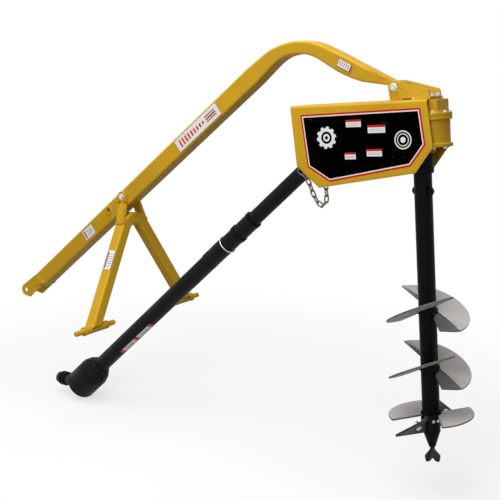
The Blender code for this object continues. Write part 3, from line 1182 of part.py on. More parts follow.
def make_driveline():
    plastic = (BLACK, 0.42)
    dark = (CAST, 0.45, 0.6)
    profile = [(UPPER_GUARD_END, UPPER_GUARD_RADIUS), (CONE_END, UPPER_GUARD_RADIUS),
               (CONE_START, CONE_RADIUS), (CONE_START, CONE_RADIUS - GUARD_SHEET),
               (CONE_END + GUARD_SHEET, UPPER_GUARD_RADIUS - GUARD_SHEET),
               (UPPER_GUARD_END, UPPER_GUARD_RADIUS - GUARD_SHEET)]
    guard = spin(piece("upper_guard", turned("upper_guard", profile, 32, ring=True), plastic, DRIVE,
                       (0, 0, 0), ALONG_X))
    reach = -CHAIN_Y + CHAIN_WIRE + PIN_PAST_CHAIN
    pin = rod("guard_pin", CHAIN_PIN_RADIUS, -reach, -UPPER_GUARD_RADIUS + GUARD_SHEET / 2, 12)
    join(guard, tool("guard_pin", pin, DRIVE, (CHAIN_ON_GUARD, 0, 0), ALONG_Y))

    fork("upper_driveshaft", dark, DRIVE, 1, "z",
         [(FORK_HUB_START, UPPER_FORK_HUB_END, FORK_HUB_RADIUS - RUN),
          (UPPER_FORK_HUB_END - FORK_EAR_LAP, UPPER_BAR_END, UPPER_BAR_RADIUS)])
    cross("upper_cross", DRIVE)

    inner = LOWER_GUARD_RADIUS - GUARD_SHEET
    guard_end = BELL_START + BELL_ON_GUARD
    lip_end = LOWER_GUARD_START + GUARD_LIP
    profile = [(guard_end, LOWER_GUARD_RADIUS), (lip_end, LOWER_GUARD_RADIUS),
               (lip_end, LOWER_GUARD_RADIUS + GUARD_LIP_STEP),
               (LOWER_GUARD_START, LOWER_GUARD_RADIUS + GUARD_LIP_STEP),
               (LOWER_GUARD_START, UPPER_GUARD_RADIUS + RUN), (lip_end, UPPER_GUARD_RADIUS + RUN),
               (lip_end, inner), (guard_end, inner)]
    lower = spin(piece("lower_guard", turned("lower_guard", profile, 32, ring=True), plastic, DRIVE,
                       (0, 0, 0), ALONG_X))
    ring_radius = (LOWER_GUARD_RADIUS + RING_WIRE + SEAT) / math.cos(math.pi / 24)
    ring = [(RING_AT, y, z) for y, z in circle((0, 0), ring_radius)]
    piece("guard_ring", wire("guard_ring", ring, RING_WIRE, True, 1), (STEEL, 0.4, 1.0), DRIVE)
    clip = tube_profile(CLIP_AT - CLIP_WIDTH / 2, CLIP_AT + CLIP_WIDTH / 2,
                        LOWER_GUARD_RADIUS + SEAT + CLIP_THICKNESS, LOWER_GUARD_RADIUS + SEAT)
    spin(piece("guard_clip", turned("guard_clip", clip, 32, ring=True), plastic, DRIVE, (0, 0, 0), ALONG_X))

    shoulder = BELL_START + BELL_SHOULDER
    outer = [(BELL_MOUTH, BELL_MOUTH_RADIUS), (shoulder, BELL_SHOULDER_RADIUS),
             (shoulder - BELL_ROUND[0], BELL_SHOULDER_RADIUS - BELL_ROUND[1]),
             (BELL_START + BELL_NECK_RISE[0], BELL_NECK_RADIUS + BELL_NECK_RISE[1]),
             (BELL_START, BELL_NECK_RADIUS)]
    neck_inner = LOWER_GUARD_RADIUS + SEAT
    inner_side = [(BELL_START, neck_inner), (guard_end + SEAT, neck_inner),
                  (shoulder - GUARD_SHEET, BELL_SHOULDER_RADIUS - 2 * GUARD_SHEET),
                  (BELL_MOUTH, BELL_MOUTH_RADIUS - GUARD_SHEET)]
    spin(piece("guard_bell", turned("guard_bell", outer + inner_side, 32, ring=True), plastic, DRIVE,
               (0, 0, 0), ALONG_X))

    pto = frame("lower_driveshaft_end", (DRIVE_LENGTH, 0, 0), 0.0, DRIVE)
    tube_end = DRIVE_LENGTH - LOWER_TUBE_START
    lower_shaft = fork("lower_driveshaft", dark, pto, -1, "y",
                       [(FORK_HUB_START, tube_end, LOWER_TUBE_RADIUS)])
    bore = rod("lower_shaft_bore", bored(UPPER_BAR_RADIUS, 32), -tube_end - LOWER_TUBE_RADIUS,
               -LOWER_BORE_SHORT_OF_JOINT, 32)
    cut(lower_shaft, tool("lower_shaft_bore", bore, pto, (0, 0, 0), ALONG_X))

    cross("pto_cross", PTO)
    pto_fork = fork("pto_fork", dark, PTO, 1, "z", [(FORK_HUB_START, PTO_HUB_END, FORK_HUB_RADIUS)])
    cut(pto_fork, tool("pto_spline", rod("pto_spline", PTO_BORE_RADIUS, PTO_BORE_START,
                                         PTO_HUB_END + PTO_BORE_RADIUS, 24),
                       PTO, (0, 0, 0), ALONG_X))
    lock_end = LOCK_START + LOCK_LENGTH
    ease, step = LOCK_CHAMFER
    lock = [(lock_end, LOCK_RADIUS - step), (lock_end - ease, LOCK_RADIUS),
            (LOCK_START + ease, LOCK_RADIUS), (LOCK_START, LOCK_RADIUS - step),
            (LOCK_START, bored(FORK_HUB_RADIUS, 32)), (lock_end, bored(FORK_HUB_RADIUS, 32))]
    spin(piece("lock_collar", turned("lock_collar", lock, 32, ring=True), (BLACK, 0.4), PTO,
               (0, 0, 0), ALONG_X))


# The guard chain
def chain_route():
    """Chosen points of the slack chain in the head's xz plane, from guard pin to shield hook."""
    lean = DRIVE_SLOPE - HEAD_TILT
    start = (JOINT_X - CHAIN_ON_GUARD * math.cos(lean), INPUT_Z - CHAIN_ON_GUARD * math.sin(lean))
    return [start, *CHAIN_HANG, CHAIN_HOOK]


def smooth_route(points, per_leg=12):
    """A Catmull-Rom curve through the points."""
    ends = [points[0]] + points + [points[-1]]
    route = []
    for a, b, c, d in zip(ends, ends[1:], ends[2:], ends[3:]):
        for step in range(per_leg):
            t = step / per_leg
            route.append(Vector([0.5 * (2 * q + (r - p) * t + (2 * p - 5 * q + 4 * r - s) * t * t
                                        + (3 * q - p - 3 * r + s) * t ** 3)
                                 for p, q, r, s in zip(a, b, c, d)]))
    route.append(Vector(points[-1]))
    return route


def along_route(route, count):
    """count equal chords of the route, as a list of count + 1 points."""
    lengths = [0.0]
    for a, b in zip(route, route[1:]):
        lengths.append(lengths[-1] + (b - a).length)
    total = lengths[-1]
    marks = []
    for i in range(count + 1):
        want = total * i / count
        k = max(j for j in range(len(route)) if lengths[j] <= want + 1e-9)
        k = min(k, len(route) - 2)
        share = (want - lengths[k]) / (lengths[k + 1] - lengths[k])
        marks.append(route[k].lerp(route[k + 1], share))
    return marks, total


def link_loop(half_length, half_width, count=5):
    """A chain link's wire line in its own xy plane, long in x."""
    reach = half_length - half_width
    right = arc((reach, 0), half_width, -90, 90, count)
    left = arc((-reach, 0), half_width, 90, 270, count)
    return [(x, y, 0.0) for x, y in right + left]


def make_chain():
    points = [Vector(p) for p in chain_route()]
    past_pin = CHAIN_PIN_RADIUS + SEAT + LINK_LAP
    points[0] += (points[0] - points[1]).normalized() * past_pin
    points[-1] += (points[-1] - points[-2]).normalized() * past_pin
    route = smooth_route(points)
    total = sum((b - a).length for a, b in zip(route, route[1:]))
    count = round(total / CHAIN_PITCH)
    count += 1 - count % 2
    marks, total = along_route(route, count)
    half_width = CHAIN_LINK_HALF_WIDTH - CHAIN_WIRE
    chain = None
    for index, (a, b) in enumerate(zip(marks, marks[1:])):
        reach = (b - a).length / 2 + CHAIN_WIRE - LINK_LAP
        loop = link_loop(reach, half_width)
        middle = (a + b) / 2
        slope = math.atan2(b.y - a.y, b.x - a.x)
        name = "guard_chain" if index == 0 else "chain_link_%d" % index
        data = wire(name, loop, CHAIN_WIRE)
        across = Matrix.Rotation(math.pi / 2 * (index % 2), 4, "X")
        pose = (Matrix.Translation((middle.x, CHAIN_Y, middle.y)) @ Matrix.Rotation(-slope, 4, "Y")
                @ Matrix.Rotation(math.pi / 2, 4, "X") @ across)
        if index == 0:
            chain = piece(name, data, (STEEL, 0.4, 1.0), HEAD)
            chain.matrix_local = pose
        else:
            link = tool(name, data, HEAD)
            link.matrix_local = pose
            join(chain, link)


make_boom()
make_yoke()
make_shield()
make_hanger()
make_gearbox()
make_auger()
make_input()
make_driveline()
make_chain()
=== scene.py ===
"""Looks of a three-point post hole digger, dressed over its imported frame.

Lengths are metres. Each group of pieces is drawn in its own frame: the boom's, the lift yoke's, the
head's, the auger's, the driveline's and the power take-off's. A form is a grid
of points worked out as whole arrays, and a piece is one or more forms in one mesh.
"""

import math

import bmesh
import bpy
import numpy as np
from mathutils import Matrix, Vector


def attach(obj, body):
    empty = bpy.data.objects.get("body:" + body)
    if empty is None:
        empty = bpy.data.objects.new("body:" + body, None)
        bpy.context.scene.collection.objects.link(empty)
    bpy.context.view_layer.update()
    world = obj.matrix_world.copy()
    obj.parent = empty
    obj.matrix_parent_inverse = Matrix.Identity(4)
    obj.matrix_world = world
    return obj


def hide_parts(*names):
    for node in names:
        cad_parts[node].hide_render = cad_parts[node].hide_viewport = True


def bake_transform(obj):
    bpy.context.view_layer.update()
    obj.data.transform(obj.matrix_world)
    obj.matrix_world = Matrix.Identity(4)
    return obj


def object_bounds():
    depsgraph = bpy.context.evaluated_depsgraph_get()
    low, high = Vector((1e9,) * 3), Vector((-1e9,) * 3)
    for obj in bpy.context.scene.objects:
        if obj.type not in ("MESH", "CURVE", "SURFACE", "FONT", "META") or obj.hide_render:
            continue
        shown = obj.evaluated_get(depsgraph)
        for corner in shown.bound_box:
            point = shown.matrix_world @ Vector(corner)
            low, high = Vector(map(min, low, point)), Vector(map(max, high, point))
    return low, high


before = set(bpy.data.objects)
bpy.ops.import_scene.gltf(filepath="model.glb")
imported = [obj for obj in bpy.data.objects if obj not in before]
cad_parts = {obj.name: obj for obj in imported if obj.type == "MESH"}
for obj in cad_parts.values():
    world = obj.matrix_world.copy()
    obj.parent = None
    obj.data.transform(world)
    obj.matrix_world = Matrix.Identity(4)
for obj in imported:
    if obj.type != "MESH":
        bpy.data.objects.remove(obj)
cad_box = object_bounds()

# Sizes of the frame
BOOM_SLOPE = math.radians(38.4)
TAIL_TURN = math.radians(38.4 + 23.9)
TUBE = 0.070
WALL = 0.005
TUBE_CORNER = 0.008
HOLES_ABOVE = 0.0095
BEND_CORNER = 1.8817
BEND_RADIUS = 0.235
TAIL_LENGTH = 0.447
HANGER_PAST_CORNER = 0.4572
HANGER_ABOVE_TAIL = 0.0167
TUBE_START = 0.098
BEND_TANGENT = BEND_RADIUS * math.tan(TAIL_TURN / 2)
BEND_START = BEND_CORNER - BEND_TANGENT
BEND_ARC = BEND_RADIUS * TAIL_TURN
BOOM_DEPTHS = ((-0.090, 0.070), (0.020, 0.057), (0.080, 0.048), (0.190, 0.048), (0.270, 0.054),
               (0.344, 0.0625), (0.391, 0.060), (0.439, 0.0525), (0.480, 0.039), (0.545, 0.0165))
BOOM_RISES = ((0.190, 0.0), (0.344, -0.004), (0.391, -0.0035), (0.439, -0.0005), (0.480, 0.006),
              (0.545, 0.0165))
BOOM_WIDTHS = ((0.300, 0.070), (0.500, 0.044))
YOKE_AT = 0.807
ALT_PIVOT_AT = 0.695
YOKE_LEAN = math.radians(6.0)
HEAD_TILT = math.radians(4.45)
AUGER_X = 0.0745
INPUT_Z = -0.150
JOINT_X = -0.2246
DRIVE_SLOPE = math.radians(41.85)
DRIVE_LENGTH = 1.8547
SHIELD_TOP = -0.0465
SHIELD_HALF = 0.072
SKIN = 0.0003


def linear(red, green, blue):
    """A colour of 0 to 255 values in linear light, with full alpha."""
    value = np.array([red, green, blue]) / 255.0
    value = np.where(value <= 0.04045, value / 12.92, ((value + 0.055) / 1.055) ** 2.4)
    return (*value.tolist(), 1.0)


# Frames

class Place:
    """A frame: an origin, and axes pitched about Y so that x turns down by the pitch."""

    def __init__(self, origin, pitch=0.0, base=None):
        c, s = math.cos(pitch), math.sin(pitch)
        turn = np.array([[c, 0.0, s], [0.0, 1.0, 0.0], [-s, 0.0, c]])
        self.turn = turn if base is None else base.turn @ turn
        self.origin = np.array(origin, float) if base is None else base(origin)

    def __call__(self, points):
        return np.asarray(points, float) @ self.turn.T + self.origin


def tail_point(along, above):
    """A boom-frame point, given along the tail's centre line from the bend's corner."""
    c, s = math.cos(TAIL_TURN), math.sin(TAIL_TURN)
    return (BEND_CORNER + along * c + above * s, 0.0, -HOLES_ABOVE - along * s + above * c)


BOOM = Place((0, 0, 0), -BOOM_SLOPE)
HANGER_AT = tail_point(HANGER_PAST_CORNER, HANGER_ABOVE_TAIL)
YOKE = Place((YOKE_AT, 0, 0), BOOM_SLOPE - YOKE_LEAN, BOOM)
HEAD = Place(HANGER_AT, BOOM_SLOPE - HEAD_TILT, BOOM)
AUGER = Place((AUGER_X, 0, 0), 0.0, HEAD)
DRIVE = Place((JOINT_X, 0, INPUT_Z), math.pi - DRIVE_SLOPE + HEAD_TILT, HEAD)
PTO = Place((DRIVE_LENGTH, 0, 0), DRIVE_SLOPE, DRIVE)


# Forms

class Form:
    """A closed surface: its points, its four-sided faces, its flat caps and each point's edge value, which
    the finishes read for wear and for painted edge light.
    """

    def __init__(self, points, quads, caps, rim):
        self.points = points
        self.quads = quads
        self.caps = caps
        self.rim = rim

    def __add__(self, other):
        shift = len(self.points)
        return Form(np.vstack([self.points, other.points]), np.vstack([self.quads, other.quads + shift]),
                    self.caps + [cap + shift for cap in other.caps], np.concatenate([self.rim, other.rim]))

    def turned_to(self, matrix, shift=(0, 0, 0)):
        """The form with its points multiplied by a 3 x 3 matrix and shifted."""
        return Form(self.points @ np.asarray(matrix, float).T + np.asarray(shift, float),
                    self.quads, self.caps, self.rim)

    def at(self, shift):
        return self.turned_to(np.eye(3), shift)


def joined(forms):
    """Several forms as one."""
    whole = forms[0]
    for form in forms[1:]:
        whole = whole + form
    return whole


def open_grid(grid):
    """The form of an open grid of points, without caps or wear."""
    rows, across = grid.shape[:2]
    index = np.arange(rows * across).reshape(rows, across)
    quads = np.stack([index[:-1, :-1], index[1:, :-1], index[1:, 1:], index[:-1, 1:]], -1)
    return Form(grid.reshape(-1, 3), quads.reshape(-1, 4), [], np.zeros(rows * across))


ON_Y = ((1, 0, 0), (0, 0, 1), (0, -1, 0))
ON_X = ((0, 0, 1), (0, 1, 0), (-1, 0, 0))
IN_XZ = ((1, 0, 0), (0, 0, -1), (0, 1, 0))


def about(axis, angle):
    """The 3 x 3 matrix of a turn about an axis."""
    return np.array(Matrix.Rotation(angle, 3, axis))


def shell(rows, rim=None, wrap=False):
    """A grid whose rows are closed loops of points.

    The first and last rows are closed by flat caps, or joined to each other where wrap is set.
    """
    rows = np.asarray(rows, float)
    count, across = rows.shape[:2]
    index = np.arange(count * across).reshape(count, across)
    loops = np.vstack([index, index[:1]]) if wrap else index
    loops = np.hstack([loops, loops[:, :1]])
    quads = np.stack([loops[:-1, :-1], loops[1:, :-1], loops[1:, 1:], loops[:-1, 1:]], -1).reshape(-1, 4)
    caps = [] if wrap else [index[0][::-1], index[-1]]
    wear = np.zeros((count, across)) if rim is None else np.broadcast_to(rim, (count, across))
    return Form(rows.reshape(-1, 3), quads, caps, wear.ravel())


def eased(corners, ease, steps=4, closed=True):
    """A line with its corners rolled over, and a wear value that is 1 in the middle of each roll.

    Each corner becomes the parabola that leaves one side and meets the other at the ease distance.
    """
    corners = np.asarray(corners, float)
    before = np.roll(corners, 1, 0) - corners
    after = np.roll(corners, -1, 0) - corners
    near = np.linalg.norm(before, axis=1)
    far = np.linalg.norm(after, axis=1)
    cut = np.minimum(np.broadcast_to(ease, near.shape), 0.45 * np.minimum(near, far))
    if not closed:
        cut = cut * (np.arange(len(cut)) % (len(cut) - 1) > 0)
    share = np.linspace(0, 1, steps + 1)[None, :, None]
    start = (corners + before * (cut / near)[:, None])[:, None]
    end = (corners + after * (cut / far)[:, None])[:, None]
    line = (1 - share) ** 2 * start + 2 * share * (1 - share) * corners[:, None] + share ** 2 * end
    wear = np.sin(np.pi * share[..., 0]) * (cut > 0)[:, None]
    return line.reshape(-1, corners.shape[1]), wear.ravel()


def turned(profile, sides=64, ease=0.001, ring=False):
    """A lathe form: (height, radius) rows with rolled corners, carried round z."""
    line, wear = eased(profile, ease, closed=ring)
    angle = np.linspace(0, 2 * np.pi, sides, endpoint=False)
    height, radius = line[:, :1], line[:, 1:]
    rows = np.stack([radius * np.cos(angle), radius * np.sin(angle), height + 0 * angle], -1)
    return shell(rows, wear[:, None], wrap=ring)


def pipe(low, high, outer, inner, sides=64, ease=0.001):
    """A plain tube on z."""
    return turned([(high, outer), (low, outer), (low, inner), (high, inner)], sides, ease, ring=True)


def arc(centre, radius, start, end, count):
    """Points on an arc, angles in degrees."""
    angle = np.radians(np.linspace(start, end, count))
    return np.stack([centre[0] + radius * np.cos(angle), centre[1] + radius * np.sin(angle)], -1)


def travelled(path):
    """The distance from a path's first point to each of its points."""
    return np.concatenate([[0.0], np.cumsum(np.linalg.norm(np.diff(path, axis=0), axis=1))])


def read_off(path, travel, marks):
    """The points of a plane path at the marks, which are distances along it."""
    return np.stack([np.interp(marks, travel, path[:, 0]), np.interp(marks, travel, path[:, 1])], -1)


def dense(outline, step):
    """A closed outline with more points on its long sides, its corners kept."""
    loop = np.vstack([outline, outline[:1]])
    travel = travelled(loop)
    marks = np.union1d(travel, np.linspace(0, travel[-1], int(travel[-1] / step) + 2))[:-1]
    return read_off(loop, travel, marks)


def inward(outline):
    """Unit normals that point into a closed outline."""
    side = np.roll(outline, -1, 0) - outline
    side = side / np.maximum(np.linalg.norm(side, axis=1, keepdims=True), 1e-9)
    normal = np.stack([-side[:, 1], side[:, 0]], -1)
    normal = normal + np.roll(normal, 1, 0)
    normal = normal / np.maximum(np.linalg.norm(normal, axis=1, keepdims=True), 1e-9)
    x, y = outline[:, 0], outline[:, 1]
    area = np.sum(x * np.roll(y, -1) - np.roll(x, -1) * y)
    return normal if area > 0 else -normal


def plate(outline, thickness, ease=0.0012, hole=None):
    """A flat plate in the xy plane with rolled edges.

    Its rows repeat the outline and step in at the two faces. Where there is a hole, its circle
    gets one point for each point of the outline, on the same bearing from the hole's centre.
    """
    outline = np.asarray(outline, float)
    if hole is not None:
        outline = dense(outline, 0.004)
    half = thickness / 2
    edge, wear = eased([(3 * ease, half), (0, half), (0, -half), (3 * ease, -half)], ease, 4, closed=False)
    inset = inward(outline)[None] * edge[:, :1, None]
    rows = np.concatenate([outline[None] + inset, np.repeat(edge[:, 1:, None], len(outline), 1)], -1)
    if hole is None:
        return shell(rows, wear[:, None])
    centre, radius = np.array(hole[:2]), hole[2]
    bearing = outline - centre
    bearing = bearing / np.linalg.norm(bearing, axis=1, keepdims=True)
    ring = centre + bearing[None] * (radius + edge[::-1, :1, None])
    bore = np.concatenate([ring, np.repeat(edge[::-1, 1:, None], len(outline), 1)], -1)
    return shell(np.concatenate([rows, bore]), np.concatenate([wear, wear[::-1]])[:, None], wrap=True)


def rounded_rows(half_width, half_height, corner, steps=5):
    """Loops of a rounded rectangle, one for each entry of the half sizes, and their wear.

    Each corner is a quarter circle with one more point on the flats at either side of it.
    """
    half_width, half_height, corner = np.broadcast_arrays(*[np.atleast_1d(np.asarray(v, float))
                                                            for v in (half_width, half_height, corner)])
    theta = np.linspace(0, np.pi / 2, steps)
    unit = np.stack([np.cos(theta), np.sin(theta)], -1)
    unit = np.vstack([[1.0, -0.6], unit, [-0.6, 1.0]])
    wear = np.concatenate([[0.0], np.sin(2 * theta).clip(0.25), [0.0]])
    loops = []
    for quarter in range(4):
        turn = np.array([[0, -1], [1, 0]]) if quarter else np.eye(2)
        turn = np.linalg.matrix_power(turn, quarter)
        sign = turn @ (1.0, 1.0)
        centre = np.stack([sign[0] * (half_width - corner), sign[1] * (half_height - corner)], -1)
        loops.append(centre[:, None] + corner[:, None, None] * (unit @ turn.T)[None])
    return np.concatenate(loops, 1), np.tile(wear, 4)


def carried(centres, across, up, loops, wear):
    """A section carried along a path: its first axis laid on across, its second on up."""
    rows = centres[:, None] + loops[..., :1] * across[:, None] + loops[..., 1:] * up[:, None]
    return shell(rows, wear)


def round_bar(path, radius, sides=12, closed=False, ripple=0.0):
    """A round bar along a path of points; the ripple swells it as a weld's laps do."""
    path = np.asarray(path, float)
    ahead = np.roll(path, -1, 0) - path if closed else np.gradient(path, axis=0)
    if closed:
        ahead = ahead + (path - np.roll(path, 1, 0))
    ahead = ahead / np.linalg.norm(ahead, axis=1, keepdims=True)
    guide = np.eye(3)[np.argmin(np.abs(ahead).max(0))]
    across = np.cross(ahead, guide)
    across = across / np.linalg.norm(across, axis=1, keepdims=True)
    up = np.cross(ahead, across)
    angle = np.linspace(0, 2 * np.pi, sides, endpoint=False)
    step = travelled(path)
    swell = radius * (1 + ripple * np.abs(np.sin(step * 900)))[:, None]
    rows = (path[:, None] + (swell * np.cos(angle))[..., None] * across[:, None]
            + (swell * np.sin(angle))[..., None] * up[:, None])
    return shell(rows, wrap=closed)


def line(start, end, count=40):
    """Points on a straight line."""
    share = np.linspace(0, 1, count)[:, None]
    return np.asarray(start, float) * (1 - share) + np.asarray(end, float) * share


def bead(path, radius=0.0028):
    """A weld bead along a path."""
    return round_bar(path, radius, 8, ripple=0.22)


HEAD_FOOT = 0.6
HEAD_CROWN = 0.72


def hexagon(corner, low, high, sides=72):
    """A hexagon nut or bolt head on z: the lesser of a six-sided radius and a chamfer's circle."""
    angle = np.linspace(0, 2 * np.pi, sides, endpoint=False)
    flat = corner * math.cos(math.pi / 6) / np.cos(np.mod(angle, math.pi / 3) - math.pi / 6)
    rise = (high - low) * np.array([0, 0, 0.12, 0.86, 1.0, 1.0])
    limit = corner * np.array([HEAD_FOOT, 0.93, 1.0, 1.0, 0.90, HEAD_CROWN])
    radius = np.minimum(flat[None], limit[:, None])
    radius[0] = HEAD_FOOT * corner
    radius[-1] = HEAD_CROWN * corner
    rows = np.stack([radius * np.cos(angle), radius * np.sin(angle), low + rise[:, None] + 0 * angle], -1)
    return shell(rows, np.array([0, 0.3, 0.2, 0.4, 0.8, 0.1])[:, None])


def threads(radius, low, high, pitch=0.0015):
    """A threaded shank's end: a saw-tooth profile of rings between two heights."""
    count = max(2, int((high - low) / pitch))
    level = np.repeat(np.linspace(low, high, count), 2)[1:-1]
    depth = radius * np.where(np.arange(len(level)) % 2, 0.90, 1.0)
    rows = np.vstack([[(low, 0.0)], np.stack([level, depth], -1), [(high, 0.8 * radius)], [(high, 0.0)]])
    return turned(rows, 32, 0.0)


def bolt(radius, grip, tail=0.006, low_head=False):
    """A bolt on z: its head below the grip, then a shank, a nut above the grip and a threaded end.

    A low head is a flat pin head with a dished middle on a washer, in place of a hexagon.
    """
    corner, head, nut = 1.85 * radius, 1.3 * radius, 1.6 * radius
    low, high = -grip / 2, grip / 2
    shank = turned([(high, 0.0), (high, radius), (low, radius), (low, 0.0)], 32, 0.0)
    if low_head:
        cap = turned([(low, 0.0), (low, 1.4 * radius), (low - 0.0014, 1.4 * radius), (low - 0.0014, radius),
                      (low - 0.0055, 0.94 * radius), (low - 0.0055, 0.45 * radius),
                      (low - 0.0030, 0.36 * radius), (low - 0.0030, 0.0)], 48, 0.0005)
    else:
        cap = hexagon(corner, 0.0, head).turned_to(about("X", math.pi), (0, 0, low))
    end = threads(radius, high + 0.5 * nut, high + nut + tail)
    return shank + cap + hexagon(corner, high, high + nut) + end


# Pieces

def settle(mesh, smooth):
    """Weld doubles, turn the faces outwards and smooth all but sharp edges."""
    work = bmesh.new()
    work.from_mesh(mesh)
    bmesh.ops.remove_doubles(work, verts=work.verts, dist=1e-6)
    bmesh.ops.recalc_face_normals(work, faces=work.faces)
    work.to_mesh(mesh)
    work.free()
    mesh.shade_smooth()
    mesh.set_sharp_from_angle(angle=math.radians(smooth))


def to_mesh(name, form, place):
    """A mesh of a form set in its frame, with its wear and its own local points kept."""
    mesh = bpy.data.meshes.new(name)
    mesh.from_pydata(place(form.points), [], form.quads.tolist() + [cap.tolist() for cap in form.caps])
    mesh.attributes.new("rim", "FLOAT", "POINT").data.foreach_set("value", form.rim)
    mesh.attributes.new("local", "FLOAT_VECTOR", "POINT").data.foreach_set("vector", form.points.ravel())
    return mesh


def adopt(name, mesh, body, finish, nodes=()):
    """A piece that rides on a body, takes a slot's finish and stands for its CAD nodes.

    A piece without a body gets no parent.
    """
    piece = bpy.data.objects.new(name, mesh)
    bpy.context.scene.collection.objects.link(piece)
    mesh.materials.clear()
    mesh.materials.append(finish)
    if body:
        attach(piece, body)
    if nodes:
        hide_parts(*nodes)
    return piece


def make(name, form, place, body, finish, nodes=(), smooth=40):
    mesh = to_mesh(name, form, place)
    settle(mesh, smooth)
    return adopt(name, mesh, body, finish, nodes)


def pierced(name, form, place, radius, half_length, centre):
    """A mesh of a form in its frame, with a round hole along the frame's y cut through it."""
    mesh = to_mesh(name, form, place)
    settle(mesh, 40)
    drill = turned([(half_length, 0.0), (half_length, radius),
                    (-half_length, radius), (-half_length, 0.0)], 64, 0.0)
    tool_mesh = to_mesh(name + "_drill", drill.turned_to(ON_Y, centre), place)
    settle(tool_mesh, 40)
    holders = [bpy.data.objects.new(part.name + "_work", part) for part in (mesh, tool_mesh)]
    for holder in holders:
        bpy.context.scene.collection.objects.link(holder)
    cut = holders[0].modifiers.new("hole", "BOOLEAN")
    cut.operation = "DIFFERENCE"
    cut.object = holders[1]
    graph = bpy.context.evaluated_depsgraph_get()
    result = bpy.data.meshes.new_from_object(holders[0].evaluated_get(graph))
    for holder in holders:
        bpy.data.objects.remove(holder, do_unlink=True)
    result.name = name
    result.shade_smooth()
    result.set_sharp_from_angle(angle=math.radians(40))
    return result


def baked(name, mesh, add_modifiers):
    """The mesh with its modifiers applied; faces that they made on edges get a wear of 1."""
    holder = bpy.data.objects.new(name + "_work", mesh)
    bpy.context.scene.collection.objects.link(holder)
    for _ in range(2):
        mesh.materials.append(None)
    add_modifiers(holder)
    graph = bpy.context.evaluated_depsgraph_get()
    result = bpy.data.meshes.new_from_object(holder.evaluated_get(graph))
    bpy.data.objects.remove(holder, do_unlink=True)
    edge = np.zeros(len(result.polygons), np.int32)
    result.polygons.foreach_get("material_index", edge)
    if "rim" in result.attributes:
        result.attributes.remove(result.attributes["rim"])
    rim = result.attributes.new("rim", "FLOAT", "FACE")
    rim.data.foreach_set("value", edge.clip(0, 1).astype(np.float32))
    result.polygons.foreach_set("material_index", np.zeros(len(edge), np.int32))
    result.name = name
    return result


def roll_edges(obj, width, angle=35.0):
    """A Bevel on the sharp edges, whose faces go to the second slot."""
    modifier = obj.modifiers.new("edges", "BEVEL")
    modifier.width = width
    modifier.segments = 2
    modifier.limit_method = "ANGLE"
    modifier.angle_limit = math.radians(angle)
    modifier.material = 1


def sheet_piece(name, grid, thickness, place, body, finish, nodes=(), ease=0.0008, more=None):
    """An open grid of points given a thickness about it, with rolled and worn edges."""
    mesh = to_mesh(name, open_grid(grid), place)
    settle(mesh, 40)

    def thicken(obj):
        modifier = obj.modifiers.new("thickness", "SOLIDIFY")
        modifier.thickness = thickness
        modifier.offset = 0.0
        modifier.use_even_offset = True
        modifier.material_offset_rim = 1
        roll_edges(obj, ease, 60.0)
    mesh = baked(name, mesh, thicken)
    if more is not None:
        mesh = with_forms(mesh, more, place)
    mesh.shade_smooth()
    mesh.set_sharp_from_angle(angle=math.radians(35))
    return adopt(name, mesh, body, finish, nodes)


def with_forms(mesh, form, place):
    """The mesh with a form added to it, the form unworn."""
    extra = to_mesh("extra", form, place)
    settle(extra, 40)
    extra.attributes.remove(extra.attributes["rim"])
    extra.attributes.new("rim", "FLOAT", "FACE")
    work = bmesh.new()
    work.from_mesh(mesh)
    work.from_mesh(extra)
    work.to_mesh(mesh)
    work.free()
    bpy.data.meshes.remove(extra)
    return mesh


def softened(node, name, body, slot, finish, width=0.0012):
    """A merged copy of a CAD node, its flats made whole and its edges rolled over."""
    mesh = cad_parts[node].data.copy()
    work = bmesh.new()
    work.from_mesh(mesh)
    bmesh.ops.remove_doubles(work, verts=work.verts, dist=1e-5)
    bmesh.ops.dissolve_limit(work, angle_limit=math.radians(1.0), verts=work.verts, edges=work.edges)
    work.to_mesh(mesh)
    work.free()
    mesh.materials.clear()
    mesh = baked(name, mesh, lambda obj: roll_edges(obj, width))
    mesh.shade_smooth()
    mesh.set_sharp_from_angle(angle=math.radians(32))
    return adopt(name, mesh, body, finish, (node,))


# Finishes

